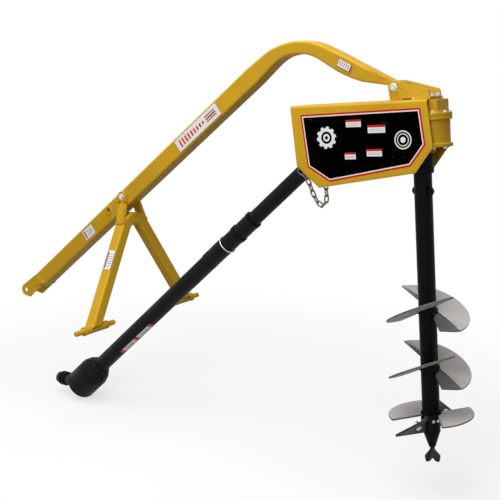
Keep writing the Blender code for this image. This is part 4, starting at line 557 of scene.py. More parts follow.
class Wire:
    """A value in a material's tree; arithmetic on it adds Math nodes."""

    def __init__(self, tree, socket=None):
        self.tree = tree
        self.socket = socket

    def node(self, kind, settings=None, sockets=None, output=0):
        """Any other node: its type, its settings, which are set first, and its sockets' values."""
        made = self.tree.nodes.new("ShaderNode" + kind)
        for key, value in (settings or {}).items():
            if key == "stops":
                for stop, (at, colour) in zip(made.color_ramp.elements, value):
                    stop.position = at
                    stop.color = colour
            else:
                setattr(made, key, value)
        for key, value in (sockets or {}).items():
            if isinstance(value, Wire):
                self.tree.links.new(value.socket, made.inputs[key])
            else:
                made.inputs[key].default_value = value
        return Wire(self.tree, made.outputs[output] if made.outputs else None)

    def maths(self, operation, first, second=0.0):
        return self.node("Math", {"operation": operation}, {0: first, 1: second})

    def __add__(self, other):
        return self.maths("ADD", self, other)

    __radd__ = __add__

    def __sub__(self, other):
        return self.maths("SUBTRACT", self, other)

    def __rsub__(self, other):
        return self.maths("SUBTRACT", other, self)

    def __mul__(self, other):
        return self.maths("MULTIPLY", self, other)

    __rmul__ = __mul__

    def __abs__(self):
        return self.maths("ABSOLUTE", self)

    def root(self):
        return self.maths("SQRT", self)

    def sine(self):
        return self.maths("SINE", self)

    def bearing(self, other):
        """The angle of the point (self, other) about the origin."""
        return self.maths("ARCTAN2", other, self)

    def larger(self, other):
        return self.maths("MAXIMUM", self, other)

    def smaller(self, other):
        return self.maths("MINIMUM", self, other)

    def rise(self, low, high):
        """0 below low, 1 above high, and a smooth step between them."""
        return self.node("MapRange", {"interpolation_type": "SMOOTHSTEP"},
                         {"Value": self, "From Min": low, "From Max": high})

    def blend(self, first, second):
        """A colour between two colours, by this value."""
        return self.node("Mix", {"data_type": "RGBA"}, {0: self, 6: first, 7: second}, 2)

    def noise(self, scale, detail=3.0, rough=0.55, stretch=(1, 1, 1)):
        """Noise of a scale in turns per metre, read at this point."""
        spot = self.node("Mapping", {}, {"Vector": self, "Scale": stretch})
        return self.node("TexNoise", {}, {"Vector": spot, "Scale": scale, "Detail": detail,
                                          "Roughness": rough})

    def along(self, direction):
        """The distance of this point along a direction."""
        return self.node("VectorMath", {"operation": "DOT_PRODUCT"}, {0: self, 1: direction}, 1)


def blank(name):
    """A new material, the start of its tree and its point in the object's own space."""
    material = bpy.data.materials.new(name)
    material.use_nodes = True
    material.node_tree.nodes.clear()
    start = Wire(material.node_tree)
    return material, start, start.node("TexCoord", {}, {}, "Object")


def close(material, start, colour, roughness, height=None, depth=0.0003, metallic=0.0, specular=0.5,
          coat=0.0, coat_roughness=0.03):
    """Join the values to the material's shader, with a height of 1 raising the skin by the depth."""
    sockets = {"Base Color": colour, "Roughness": roughness, "Metallic": metallic,
               "Specular IOR Level": specular, "Coat Weight": coat, "Coat Roughness": coat_roughness}
    if height is not None:
        sockets["Normal"] = start.node("Bump", {}, {"Height": height, "Strength": 1.0, "Distance": depth})
    shader = start.node("BsdfPrincipled", {}, sockets)
    start.node("OutputMaterial", {}, {"Surface": shader})
    return material


def shade(colour, factor):
    return (*[min(1.0, channel * factor) for channel in colour[:3]], 1.0)


def paint(name, colour, under, roughness=0.48, peel=0.00012, cast=0.0, wear=0.5, coat=0.03, gloss=0.12,
          edge=1.35, edge_light_and_wear_share=0.45):
    """Sprayed paint: cloudy tone, orange peel, dust that dulls it, chips on the worn edges, and rolled edges
    tinted by the edge factor: lighter is a painted highlight, darker is painted shade with dark worn paint.
    """
    material, start, spot = blank(name)
    rim = start.node("Attribute", {"attribute_name": "rim"}, {}, "Fac")
    cloud = spot.noise(4.0, 2.0)
    speck = spot.noise(55.0, 4.0)
    skin = spot.noise(380.0, 2.0)
    chip = spot.noise(130.0, 5.0, 0.7)
    tone = cloud.rise(0.3, 0.7).blend(shade(colour, 0.93), shade(colour, 1.05))
    tone = (speck.rise(0.52, 0.75) * 0.35).blend(tone, shade(colour, 0.80))
    # Painted highlight on rolled edges where the edge factor is above 1; below 1 it is painted shade along
    # with dark worn paint.
    edge_light_and_wear_tone = (rim.rise(0.1, 0.9) * edge_light_and_wear_share).blend(tone, shade(colour, edge))
    bare = (rim * chip).rise(0.62 - 0.10 * wear, 0.72 - 0.10 * wear) * wear
    surface = bare.blend(edge_light_and_wear_tone, under)
    dull = roughness + 0.16 * speck.rise(0.35, 0.8) + 0.2 * bare
    height = skin * (peel / 0.0003) + spot.noise(900.0, 3.0) * (cast / 0.0003) - 0.25 * bare
    return close(material, start, surface, dull, height, metallic=bare * 0.6, coat=coat, coat_roughness=0.22,
                 specular=gloss)


def plastic(name, colour, roughness=0.42):
    """Blow-moulded guard plastic: fine lengthwise scuffs, a leathery skin and dusty patches."""
    material, start, spot = blank(name)
    local = start.node("Attribute", {"attribute_name": "local"}, {}, "Vector")
    rim = start.node("Attribute", {"attribute_name": "rim"}, {}, "Fac")
    scuff = local.noise(260.0, 3.0, 0.6, (0.04, 1, 1))
    dust = spot.noise(14.0, 4.0)
    pores = spot.noise(1100.0, 2.0)
    tone = (dust.rise(0.42, 0.75) * 0.45).blend(colour, shade(colour, 1.7))
    tone = (scuff.rise(0.58, 0.72) * 0.25).blend(tone, shade(colour, 2.6))
    tone = (rim * 0.5).blend(tone, shade(colour, 2.4))
    dull = roughness + 0.18 * dust.rise(0.3, 0.8) - 0.08 * scuff.rise(0.55, 0.8)
    return close(material, start, tone, dull, pores * 0.18 + scuff * 0.2, specular=0.10)


def metal(name, colour, roughness, brush=(1, 1, 1), grime=0.3):
    """Bare or plated steel: brushed grain, darker grime in patches and brighter worn edges."""
    material, start, spot = blank(name)
    rim = start.node("Attribute", {"attribute_name": "rim"}, {}, "Fac")
    grain = spot.noise(700.0, 3.0, 0.6, brush)
    patch = spot.noise(60.0, 4.0)
    tone = (patch.rise(0.45, 0.72) * grime).blend(colour, shade(colour, 0.45))
    tone = (grain.rise(0.45, 0.8) * 0.25).blend(tone, shade(colour, 1.25))
    tone = (rim * 0.6).blend(tone, shade(colour, 1.7))
    dull = roughness + 0.2 * patch.rise(0.4, 0.8) - 0.06 * grain
    return close(material, start, tone, dull, grain * 0.5 + patch * 0.5, 0.0002,
                 metallic=1.0 - 0.35 * patch)


def iron(name, colour, roughness=0.5):
    """Dark cast or forged steel with a coarse skin and rubbed edges."""
    material, start, spot = blank(name)
    rim = start.node("Attribute", {"attribute_name": "rim"}, {}, "Fac")
    coarse = spot.noise(320.0, 4.0, 0.65)
    rust = spot.noise(38.0, 5.0, 0.65)
    tone = (coarse.rise(0.4, 0.7) * 0.5).blend(colour, shade(colour, 1.7))
    tone = (rust.rise(0.62, 0.78) * 0.30).blend(tone, linear(78, 56, 40))
    tone = (rim * coarse.rise(0.35, 0.6) * 0.8).blend(tone, shade(colour, 4.0))
    return close(material, start, tone, roughness + 0.2 * coarse, coarse, 0.0004, metallic=0.45 + 0.4 * rim)


YELLOW = linear(206, 160, 34)
PRIMER = linear(120, 116, 108)
BLACK = linear(9, 8, 9)
PLASTIC = linear(13, 13, 15)
GREY = linear(196, 192, 188)
STEEL = linear(168, 168, 172)
BRIGHT = linear(205, 203, 205)
FORGED = linear(44, 43, 45)
yellow = paint("yellow_paint", YELLOW, PRIMER)
cast_yellow = paint("cast_yellow_paint", linear(194, 149, 30), PRIMER, 0.46, 0.00012, 0.00022, 0.35, 0.05)
# The flight paint's edge factor of 0.22 darkens its edges: painted shade, along with dark worn paint.
flight_grey = paint("flight_grey_paint", GREY, linear(58, 57, 58), 0.55, 0.0001, 0.00006, 0.9, 0.0, 0.3,
                    0.22, 0.95)
# Painted shade: the folded corner takes a darker copy of the flight grey.
flap_grey_painted_shade = paint("folded_corner_painted_shade", linear(104, 103, 106), linear(58, 57, 58), 0.55, 0.0001, 0.00006,
                  0.9, 0.0, 0.3, 0.3, 0.9)
auger_black = paint("auger_black_paint", BLACK, linear(92, 90, 88), 0.38, 0.00012, 0.00004, 0.3, 0.02, 0.05)
guard_black = plastic("guard_plastic", PLASTIC)
zinc = metal("zinc_plate", BRIGHT, 0.30, grime=0.25)
steel = metal("machined_steel", STEEL, 0.32, (1, 1, 0.08))
forged = iron("forged_steel", FORGED)
tooth_steel = iron("tooth_steel", linear(34, 33, 34), 0.42)
friction = iron("friction_lining", linear(40, 35, 30), 0.8)
chain_steel = metal("chain_plate", linear(120, 112, 100), 0.42, grime=0.6)


# Boom
STRAP_HALF = (0.0775, 0.022)
STRAP_TOP = 0.0275


def between(table, at):
    """A value between the rows of a (place, value) table, averaged over a short stretch."""
    places, values = np.array(table).T
    return sum(np.interp(at + shift, places, values) for shift in (-0.008, -0.004, 0.0, 0.004, 0.008)) / 5


def boom_line(past):
    """The boom's centre line: straight, then an arc of the bend's radius, then straight again.

    Returns the points and the upward normals, for places past the bend's start.
    """
    turn = np.clip(past / BEND_RADIUS, 0, TAIL_TURN)
    rest = past - turn * BEND_RADIUS
    s = BEND_START + BEND_RADIUS * np.sin(turn) + rest * np.cos(turn)
    n = -HOLES_ABOVE - BEND_RADIUS * (1 - np.cos(turn)) - rest * np.sin(turn)
    points = np.stack([s, 0 * s, n], -1)
    up = np.stack([np.sin(turn), 0 * s, np.cos(turn)], -1)
    return points, up


def make_boom():
    """The square tube, pressed in round its bend and drawn to a point at the tail."""
    start = TUBE_START - BEND_START
    end = BEND_ARC + TAIL_LENGTH - BEND_TANGENT
    past = np.concatenate([[start, start + 0.0012], np.linspace(start + 0.01, -0.11, 40),
                           np.linspace(-0.10, end, 110)])
    bore = np.array([start + 0.6, start + 0.3, start + 0.02, start + 0.0008, start])
    depth = between(BOOM_DEPTHS, past) / 2
    width = between(BOOM_WIDTHS, past) / 2
    lip = np.where(past == start, 0.0010, 0.0)
    corner = np.minimum(TUBE_CORNER, 0.42 * depth)
    outer, wear = rounded_rows(width - lip, depth - lip, corner)
    outer[..., 1] += between(BOOM_RISES, past)[:, None]
    inner, _ = rounded_rows(TUBE / 2 - WALL + 0 * bore, TUBE / 2 - WALL, 0.004)
    inner[-1] *= 1.02
    centres, up = boom_line(np.concatenate([bore, past]))
    across = np.tile([0.0, 1.0, 0.0], (len(centres), 1))
    wears = np.broadcast_to(wear, (len(centres), len(wear))).copy()
    wears[:3] = 0
    wears[3:6] = np.maximum(wears[3:6], 0.8)
    form = carried(centres, across, up, np.concatenate([inner, outer]), wears)
    mesh = pierced("boom_box_tube", form, BOOM, 0.0165, 0.06, (ALT_PIVOT_AT, 0, 0))
    adopt("boom_box_tube", mesh, "boom", yellow, ("boom_tube",))

    side = TUBE / 2 + SKIN
    foot = -TUBE / 2 - HOLES_ABOVE + 0.0048
    outline = np.vstack([arc((0, 0), 0.028, 90, 205, 20), [(0, foot), (0.124, foot), (0.108, 0.0205)]])
    for sign, name in ((-1, "near"), (1, "far")):
        form = plate(outline, 0.006, 0.0009, (0, 0, 0.0098)).turned_to(IN_XZ, (0, sign * (side + 0.003), 0))
        make("hitch_plate_%s_weldment" % name, form, BOOM, "boom", yellow,
             ("hitch_plate_" + name,))
        y = sign * (TUBE / 2 + 0.001)
        welds = bead(line((0.100, y, foot - 0.001), (0.122, y, foot - 0.001)))
        welds += bead(line((0.125, y + sign * 0.001, foot), (0.109, y + sign * 0.001, 0.020)))
        make("hitch_plate_%s_weld" % name, welds, BOOM, "boom", cast_yellow)

    form = pipe(-0.038, 0.038, 0.017, 0.010, 64, 0.0012).turned_to(ON_Y, (ALT_PIVOT_AT, 0, 0))
    ring = np.radians(np.linspace(0, 352.5, 96))
    for y in (-TUBE / 2 - 0.0006, TUBE / 2 + 0.0006):
        loop = np.stack([ALT_PIVOT_AT + 0.0182 * np.cos(ring), 0 * ring + y, 0.0182 * np.sin(ring)], -1)
        form += round_bar(loop, 0.0016, 8, True, 0.3)
    make("spare_pivot_bushing", form, BOOM, "boom", yellow, ("alt_pivot_bushing",))
    form = pipe(-0.037, 0.037, 0.022, 0.0105, 64, 0.0015).turned_to(ON_Y, HANGER_AT)
    make("boom_end_boss", form, BOOM, "boom", yellow, ("boom_end_bushing",))
    form = bolt(0.010, TUBE + 2 * (0.012 + 2 * SKIN), low_head=True).turned_to(ON_Y, (YOKE_AT, 0, 0))
    make("yoke_pivot_bolt_and_nut", form, BOOM, "boom", zinc, ("yoke_pivot_bolt",))

    strap = rounded_rows(STRAP_HALF[0], STRAP_HALF[1], 0.005)[0][0]
    middle = tail_point(TAIL_LENGTH - STRAP_HALF[0], STRAP_TOP - 0.003)
    form = plate(strap, 0.006, 0.0012)
    for side in (-1, 1):
        y = side * (STRAP_HALF[1] + 0.0004)
        form += bead(line((-0.070, y, -0.003), (0.030, y, -0.003), 60), 0.0018)
    form = form.turned_to(about("Y", TAIL_TURN), middle)
    make("boom_end_cover_strap", form, BOOM, "boom", yellow, ("boom_end_strap",))


# Lift yoke
LEG_ANGLE = math.radians(32.0)
LEG_RADIUS = 0.068
LEG_CENTRE = 0.038 + LEG_RADIUS / math.sin(LEG_ANGLE)
LEG_HALF = 0.025
PIN_DROP = 0.519
FOOT_DROP = 0.507
LUG_BEND = 0.0285
LUG_FLARE = math.radians(20.0)


def leg_line(travel):
    """The bent leg's centre line, by the distance from its crest; negative on the near side.

    An arc of the bend's radius from the crest, then a straight leg at the half angle.
    """
    side = np.where(travel < 0, -1.0, 1.0)
    reach = np.abs(travel)
    turn = np.maximum(LEG_ANGLE, math.pi / 2 - reach / LEG_RADIUS)
    rest = np.maximum(0, reach - LEG_RADIUS * (math.pi / 2 - LEG_ANGLE))
    y = LEG_RADIUS * np.cos(turn) + rest * math.sin(LEG_ANGLE)
    z = -LEG_CENTRE + LEG_RADIUS * np.sin(turn) - rest * math.cos(LEG_ANGLE)
    points = np.stack([0 * y, side * y, z], -1)
    outward = np.stack([0 * y, side * np.cos(turn), np.sin(turn)], -1)
    along = np.stack([0 * y, side * np.sin(turn), -np.cos(turn)], -1)
    return points, outward, along


FLAT_STEPS = 36


def flat_loop(half_x, half_n, corner):
    """A rounded rectangle with evenly spread points on its flats too, and its wear."""
    loop, wear = rounded_rows(half_x, half_n, corner)
    loop = loop[0]
    closed = np.vstack([loop, loop[:1]])
    travel = travelled(closed)
    marks = np.union1d(travel, np.linspace(0, travel[-1], FLAT_STEPS + 1))[:-1]
    return read_off(closed, travel, marks), np.interp(marks, travel, np.append(wear, wear[0]))


def make_lug_foot(sign, name):
    """The lug's lower end, bent outwards: each point moves out with its drop below the bend."""
    outline = [(-0.0225, -LUG_BEND), (0.0225, -LUG_BEND), (0.0225, -0.112), (-0.0225, -0.112)]
    form = plate(dense(np.array(outline), 0.006), 0.012, 0.0022).turned_to(IN_XZ)
    drop = np.clip(-0.030 - form.points[:, 2], 0, None)
    form.points[:, 1] += sign * (TUBE / 2 + SKIN + 0.006 + drop * math.tan(LUG_FLARE))
    make("yoke_lug_foot_" + name, form, YOKE, "yoke", yellow)


def make_yoke():
    """One square tube bent over the boom, its two feet cut level where they meet the pin sleeves."""
    loop, wear = flat_loop(LEG_HALF, LEG_HALF, 0.008)
    bend = LEG_RADIUS * (math.pi / 2 - LEG_ANGLE)
    last = bend + (FOOT_DROP - LEG_CENTRE + LEG_RADIUS * math.sin(LEG_ANGLE)) / math.cos(LEG_ANGLE)
    half = np.concatenate([np.linspace(0, bend, 22), np.linspace(bend + 0.02, last - 0.03, 46), [last]])
    travel = np.concatenate([-half[:0:-1], half])
    points, outward, along = leg_line(travel)
    rows = (points[:, None] + loop[:, :1][None] * np.array([1.0, 0, 0])
            + loop[None, :, 1:] * outward[:, None])
    for end in (0, -1):
        slide = (rows[end, :, 2] + FOOT_DROP) / math.cos(LEG_ANGLE)
        rows[end] += slide[:, None] * along[end]
    make("yoke_bent_legs", shell(rows, wear), YOKE, "yoke", yellow, ("yoke_legs",), 30)

    strap = np.vstack([arc((0, 0), 0.0225, 0, 180, 28), [(-0.0225, -0.031), (0.0225, -0.031)]])
    for sign, name in ((-1, "near"), (1, "far")):
        y = sign * (TUBE / 2 + SKIN + 0.006)
        form = plate(strap, 0.012, 0.0022, (0, 0, 0.0105)).turned_to(IN_XZ, (0, y, 0))
        make("yoke_lug_" + name, form, YOKE, "yoke", yellow, ("yoke_strap_" + name,))
        make_lug_foot(sign, name)
        level = np.linspace(-0.094, -0.1105, 16)
        bent = sign * np.sqrt((LEG_RADIUS + LEG_HALF) ** 2 - (LEG_CENTRE + level) ** 2)
        weld = bead(line((-0.0215, sign * 0.0780, -0.1128), (0.0215, sign * 0.0780, -0.1128), 30), 0.0026)
        for x in (-0.0232, 0.0232):
            weld += bead(np.stack([0 * level + x, bent, level], -1), 0.0024)
        middle = sign * 0.280
        turn = ON_Y if sign > 0 else ((1, 0, 0), (0, 0, -1), (0, 1, 0))
        form = pipe(-0.065, 0.065, 0.017, 0.0115, 64, 0.0018).turned_to(turn, (0, middle, -PIN_DROP))
        make("pin_sleeve_" + name, form, YOKE, "yoke", yellow, ("hitch_sleeve_" + name,))
        tip, stub, collar = 0.400 - 0.280, 0.172 - 0.280, 0.065 + SKIN
        profile = [(tip, 0.0), (tip, 0.0085), (tip - 0.003, 0.0111), (tip - 0.018, 0.0111),
                   (tip - 0.0185, 0.0106), (tip - 0.0205, 0.0106), (tip - 0.021, 0.0111),
                   (collar + 0.008, 0.0111), (collar + 0.008, 0.019), (collar, 0.019), (collar, 0.0111),
                   (stub + 0.003, 0.0111), (stub, 0.0085), (stub, 0.0)]
        form = turned(profile, 48, 0.0008).turned_to(turn, (0, middle, -PIN_DROP))
        make("lower_link_pin_" + name, form, YOKE, "yoke", yellow, ("hitch_pin_" + name,))
        for x in (-0.0195, 0.0195):
            for y_end in (0.232, 0.326):
                weld += bead(line((x, sign * y_end, -PIN_DROP + 0.002),
                                  (x * 0.9, sign * (y_end - 0.010), -PIN_DROP + 0.016), 12), 0.0026)
        make("yoke_weld_" + name, weld, YOKE, "yoke", cast_yellow)


# Shield and its printed side
SHIELD_LEFT = ((-0.410, SHIELD_TOP), (-0.4094, SHIELD_TOP - 0.010), (-0.395, -0.265), (-0.305, -0.346))
SHIELD_RIGHT = ((0.131, SHIELD_TOP), (0.1320, SHIELD_TOP - 0.010), (0.148, -0.209), (0.081, -0.295))


def make_shield():
    """An inverted U of sheet, ruled between its left and right edge lines.

    A row is a cut across the U. Its points go from the near lower edge over the top to the far
    lower edge, and v runs down each side from 0 at the top to 1 at the lower edge.
    """
    v_marks = (0.0, 0.05, 0.70, 1.0)
    down = np.concatenate([np.linspace(0.0501, 0.70, 14), np.linspace(0.73, 1.0, 8)])
    bend = np.radians(np.linspace(0, 90, 7))
    radius = 0.0085
    side_y = np.full(len(down), SHIELD_HALF - 0.0015)
    bend_y = SHIELD_HALF - 0.010 + radius * np.cos(bend)
    bend_v = 0.05 * (1 - np.sin(bend))
    top_y = np.linspace(SHIELD_HALF - 0.018, 0, 6)
    half_y = np.concatenate([side_y[::-1], bend_y, top_y])
    half_v = np.concatenate([down[::-1], bend_v, 0 * top_y])
    y = np.concatenate([-half_y, half_y[-2::-1]])
    v = np.concatenate([half_v, half_v[-2::-1]])
    left, right = np.array(SHIELD_LEFT), np.array(SHIELD_RIGHT)
    start = np.stack([np.interp(v, v_marks, left[:, 0]), y, np.interp(v, v_marks, left[:, 1])], -1)
    stop = np.stack([np.interp(v, v_marks, right[:, 0]), y, np.interp(v, v_marks, right[:, 1])], -1)
    start[:, 2] -= 0.0015 * (v < 0.05)
    stop[:, 2] -= 0.0015 * (v < 0.05)
    share = np.linspace(0, 1, 40)[:, None, None]
    grid = start[None] * (1 - share) + stop[None] * share
    hook = turned([(-0.0372, 0.0), (-0.0372, 0.0035), (-0.0700, 0.0035), (-0.0700, 0.0)], 20, 0.0006)
    hook = hook.turned_to(ON_Y, (-0.293, 0, -0.286))
    sheet_piece("driveline_shield", grid, 0.0028, HEAD, "head", yellow, ("shield",), 0.0006,
                hook)


PANEL = ((-0.368, -0.080), (0.108, -0.074), (0.123, -0.199), (0.065, -0.271), (-0.258, -0.324),
         (-0.348, -0.270))
NOTES = (((-0.150, -0.118), (0.030, 0.0125)), ((-0.060, -0.140), (0.034, 0.0135)),
         ((-0.168, -0.232), (0.022, 0.0115)), ((-0.072, -0.222), (0.030, 0.0125)))
WHEEL_AT = (-0.262, -0.165)
RINGS_AT = (0.040, -0.180)
RED = linear(206, 38, 30)
WHITE = linear(236, 234, 230)


def box_mask(u, v, centre, half, soft=0.0004):
    """1 inside a box in the plane."""
    reach = (abs(u - centre[0]) - half[0]).larger(abs(v - centre[1]) - half[1])
    return 1 - reach.rise(-soft, soft)


def ring_mask(distance, radius, half, soft=0.0005):
    """1 within a band about a circle."""
    return 1 - abs(distance - radius).rise(half - soft, half + soft)


def union(masks):
    """The greatest of several masks or distances."""
    result = masks[0]
    for mask in masks[1:]:
        result = result.larger(mask)
    return result


def panel_print():
    """The side print: a black field, a white line and a red line round it, and plain white figures.

    The signed distance to the outline is the greatest of the distances to its six sides.
    """
    material, start, spot = blank("side_print")
    local = start.node("Attribute", {"attribute_name": "local"}, {}, "Vector")
    u, v = local.along((1, 0, 0)), local.along((0, 1, 0))
    corners = np.array(PANEL)
    ahead = np.roll(corners, -1, 0) - corners
    normals = np.stack([-ahead[:, 1], ahead[:, 0]], -1) / np.linalg.norm(ahead, axis=1, keepdims=True)
    inside = normals @ corners.mean(0) - np.sum(normals * corners, 1)
    normals = normals * np.where(inside > 0, -1, 1)[:, None]
    reach = union([local.along((normal[0], normal[1], 0.0)) - float(normal @ corner)
                   for normal, corner in zip(normals, corners)])

    def polar(centre):
        du, dv = u - centre[0], v - centre[1]
        return (du * du + dv * dv).root(), du.bearing(dv)

    distance, angle = polar(WHEEL_AT)
    lobes = (angle * 10).sine().rise(-0.15, 0.15) * 0.006
    white = [1 - (distance - lobes).rise(0.0335, 0.0345)]
    hub = 1 - distance.rise(0.0215, 0.0225)
    ring = ring_mask(distance, 0.010, 0.0035)
    distance = polar(RINGS_AT)[0]
    white += [ring_mask(distance, 0.030, 0.0022), ring_mask(distance, 0.0205, 0.0016),
              1 - distance.rise(0.0095, 0.0105)]
    heads, bars = [], []
    for centre, half in NOTES:
        white.append(box_mask(u, v, centre, half))
        heads.append(box_mask(u, v, (centre[0], centre[1] + 0.72 * half[1]), (half[0], 0.28 * half[1])))
        for row in range(2):
            bar_v = centre[1] - (0.05 + 0.42 * row) * half[1]
            bars.append(box_mask(u, v, (centre[0], bar_v), (0.8 * half[0], 0.0011)))
    figures = union(white) * (1 - hub) + ring
    wear = spot.noise(150.0, 5.0, 0.7)
    scratch = spot.noise(90.0, 3.0, 0.6, (0.25, 1, 1.4))
    tone = figures.larger(0.0).smaller(1.0).blend(linear(3, 3, 4), WHITE)
    tone = (union(bars) * 0.6).blend(tone, linear(110, 106, 110))
    tone = union(heads).blend(tone, RED)
    tone = reach.rise(-0.0108, -0.0102).blend(tone, WHITE)
    tone = reach.rise(-0.0068, -0.0062).blend(tone, RED)
    tone = (scratch.rise(0.66, 0.74) * 0.10).blend(tone, linear(120, 118, 115))
    return close(material, start, tone, 0.34 + 0.14 * wear, spot.noise(300.0, 2.0), 0.00006, specular=0.0)


def label_print(name, half, stripes):
    """A plain label: a pale field with a dark line round it and bands of red or grey on it.

    Each stripe is (centre u, centre v, half length, half width, colour).
    """
    material, start, spot = blank(name)
    local = start.node("Attribute", {"attribute_name": "local"}, {}, "Vector")
    u, v = local.along((1, 0, 0)), local.along((0, 1, 0))
    tone = (spot.noise(40.0, 3.0).rise(0.4, 0.8) * 0.5).blend(WHITE, shade(WHITE, 0.86))
    for centre_u, centre_v, half_u, half_v, colour in stripes:
        tone = box_mask(u, v, (centre_u, centre_v), (half_u, half_v)).blend(tone, colour)
    edge = (abs(u) - half[0] + 0.0012).larger(abs(v) - half[1] + 0.0012)
    tone = edge.rise(-0.0003, 0.0003).blend(tone, linear(96, 84, 82))
    fade = spot.noise(120.0, 4.0, 0.7)
    return close(material, start, tone, 0.38 + 0.15 * fade, fade, 0.00006)


def sticker(name, half, thickness, matrix, place, shift, body, finish):
    """A thin printed plate with rounded corners, laid on a face by a matrix and a shift.

    Its print reads the plate's own coordinates, so these are kept before the plate is laid.
    """
    loop = rounded_rows(half[0], half[1], 0.0025)[0][0]
    form = plate(loop, thickness, thickness / 5)
    mesh = to_mesh(name, form.turned_to(matrix, shift), place)
    mesh.attributes["local"].data.foreach_set("vector", form.points.ravel())
    settle(mesh, 50)
    return adopt(name, mesh, body, finish)


FILM_START = 1.277
FILM_END = 1.516
FILM_RADIUS = 0.0353
FILM_MIDDLE = math.atan2(0.91, -0.41)
FILM_SPREAD = math.radians(24)


def make_wrapped_film():
    """Two plain notices on one film wrapped on the outer guard; u runs along it and v round it."""
    start, end, radius = FILM_START, FILM_END, FILM_RADIUS
    middle, spread = FILM_MIDDLE, FILM_SPREAD
    u = np.linspace(start, end, 30)[:, None]
    turn = middle + np.linspace(-spread, spread, 14)[None]
    grid = np.stack([u + 0 * turn, radius * np.cos(turn) + 0 * u, radius * np.sin(turn) + 0 * u], -1)
    half = ((end - start) / 2, radius * spread)
    flat = np.stack([u - (start + end) / 2 + 0 * turn, radius * (turn - middle) + 0 * u,
                     0 * turn + 0 * u], -1)
    mesh = to_mesh("driveline_film", open_grid(grid), DRIVE)
    mesh.attributes["local"].data.foreach_set("vector", flat.ravel())

    def thicken(obj):
        modifier = obj.modifiers.new("thickness", "SOLIDIFY")
        modifier.thickness = 0.0004
        modifier.offset = 0.0
    mesh = baked("driveline_film", mesh, thicken)
    grey = linear(120, 118, 122)
    bars = [(0.5 * side * half[0] + 0.030 * k - 0.015, 0.004 * row, 0.012, 0.0009, grey)
            for side in (-1, 1) for k in range(2) for row in (-1, 0, 1)]
    bars += [(at * half[0], 0.0, 0.011, half[1], RED) for at in (-0.93, 0.0, 0.93)]
    adopt("driveline_film", mesh, "outer_guard", label_print("driveline_print", half, bars))


def make_prints():
    dark = linear(70, 66, 70)
    outline, _ = eased(PANEL, 0.004, 4)
    form = plate(outline, 0.0005, 0.0001)
    mesh = to_mesh("side_print_film", form.turned_to(IN_XZ, (0, -SHIELD_HALF - 0.0003, 0)), HEAD)
    mesh.attributes["local"].data.foreach_set("vector", form.points.ravel())
    settle(mesh, 50)
    adopt("side_print_film", mesh, "head", panel_print())
    on_side = np.array(IN_XZ, float)
    half = (0.133, 0.0275)
    bars = [(-0.108 + 0.018 * k, 0.0, 0.0045, 0.0165 - 0.0012 * k, RED) for k in range(9)]
    bars += [(0.084, 0.0, 0.030, 0.0035, dark), (0.084, 0.0105, 0.030, 0.0028, RED),
             (0.084, -0.0105, 0.030, 0.0028, RED)]
    sticker("boom_stripe_film", half, 0.0006, on_side, BOOM,
            (1.318, -TUBE / 2 - 0.0004, -HOLES_ABOVE - 0.0005), "boom",
            label_print("boom_stripe_print", half, bars))
    turn = on_side @ about("Z", math.radians(90))
    sticker("boom_patch_film", (0.0235, 0.036), 0.0006, turn, BOOM,
            (0.530, -TUBE / 2 - 0.0004, -HOLES_ABOVE), "boom",
            label_print("boom_patch_print", (0.0235, 0.036),
                        [(0.0, 0.024, 0.017, 0.0045, RED), (0.0, 0.004, 0.014, 0.0016, dark),
                         (0.0, -0.008, 0.014, 0.0016, dark), (0.0, -0.020, 0.014, 0.0016, dark)]))
    outward = np.array([(0, -math.sin(LEG_ANGLE), -math.cos(LEG_ANGLE)), (1, 0, 0),
                        (0, -math.cos(LEG_ANGLE), math.sin(LEG_ANGLE))]).T
    leg_foot = np.array([0, -(LEG_RADIUS + LEG_HALF) * math.cos(LEG_ANGLE),
                         -LEG_CENTRE + (LEG_RADIUS + LEG_HALF) * math.sin(LEG_ANGLE)])
    half = (0.044, 0.021)
    bars = [(0.0, -0.0155, 0.038, 0.0035, linear(150, 40, 60))]
    bars += [(0.028 - 0.011 * k, 0.003, 0.0016, 0.013, linear(128, 122, 124)) for k in range(6)]
    sticker("yoke_leg_film", half, 0.0006, outward, YOKE,
            leg_foot + outward @ (0.161, 0.004, 0.0004), "yoke",
            label_print("yoke_leg_print", half, bars))
    make_wrapped_film()
    half = (0.027, 0.0135)
    tail = about("Y", TAIL_TURN) @ on_side
    bars = [(-0.018 + 0.009 * k, 0.0, 0.0014, 0.0085, dark) for k in range(5)]
    sticker("boom_tail_film", half, 0.0006, tail,
            BOOM, np.array(tail_point(0.243, -0.001)) - (0, TUBE / 2 + 0.0004, 0), "boom",
            label_print("boom_tail_print", half, bars))


# Head: hanger, gearbox and the chain
BOX_HALF_LENGTH = 0.103
BOX_HALF_WIDTH = 0.058
BOX_LIP = 0.0075
BOX_FLOOR = -0.210
BOX_SPLIT = -0.106


def stadium(half_length, half_width, count=28):
    """A plan with straight sides and round ends."""
    reach = half_length - half_width
    return np.vstack([arc((reach, 0), half_width, -90, 90, count),
                      arc((-reach, 0), half_width, 90, 270, count)])


def casting(profile, ease, closed=False):
    """Rows of the gearbox's plan about the auger's axis, from (height, growth) steps.

    Where the growth reaches the plan's middle, the plan has shrunk to the circle of the bore.
    """
    steps, wear = eased(profile, ease, 4, closed=closed)
    rows = []
    for height, growth in steps:
        length = max(BOX_HALF_LENGTH + growth, BOX_HALF_WIDTH + growth + 1e-6)
        shrunk = BOX_HALF_WIDTH + growth
        loop = stadium(length if shrunk > 0.045 else shrunk + 1e-6, shrunk)
        rows.append(np.column_stack([loop + (AUGER_X, 0), np.full(len(loop), height)]))
    return shell(rows, wear[:, None], wrap=closed)


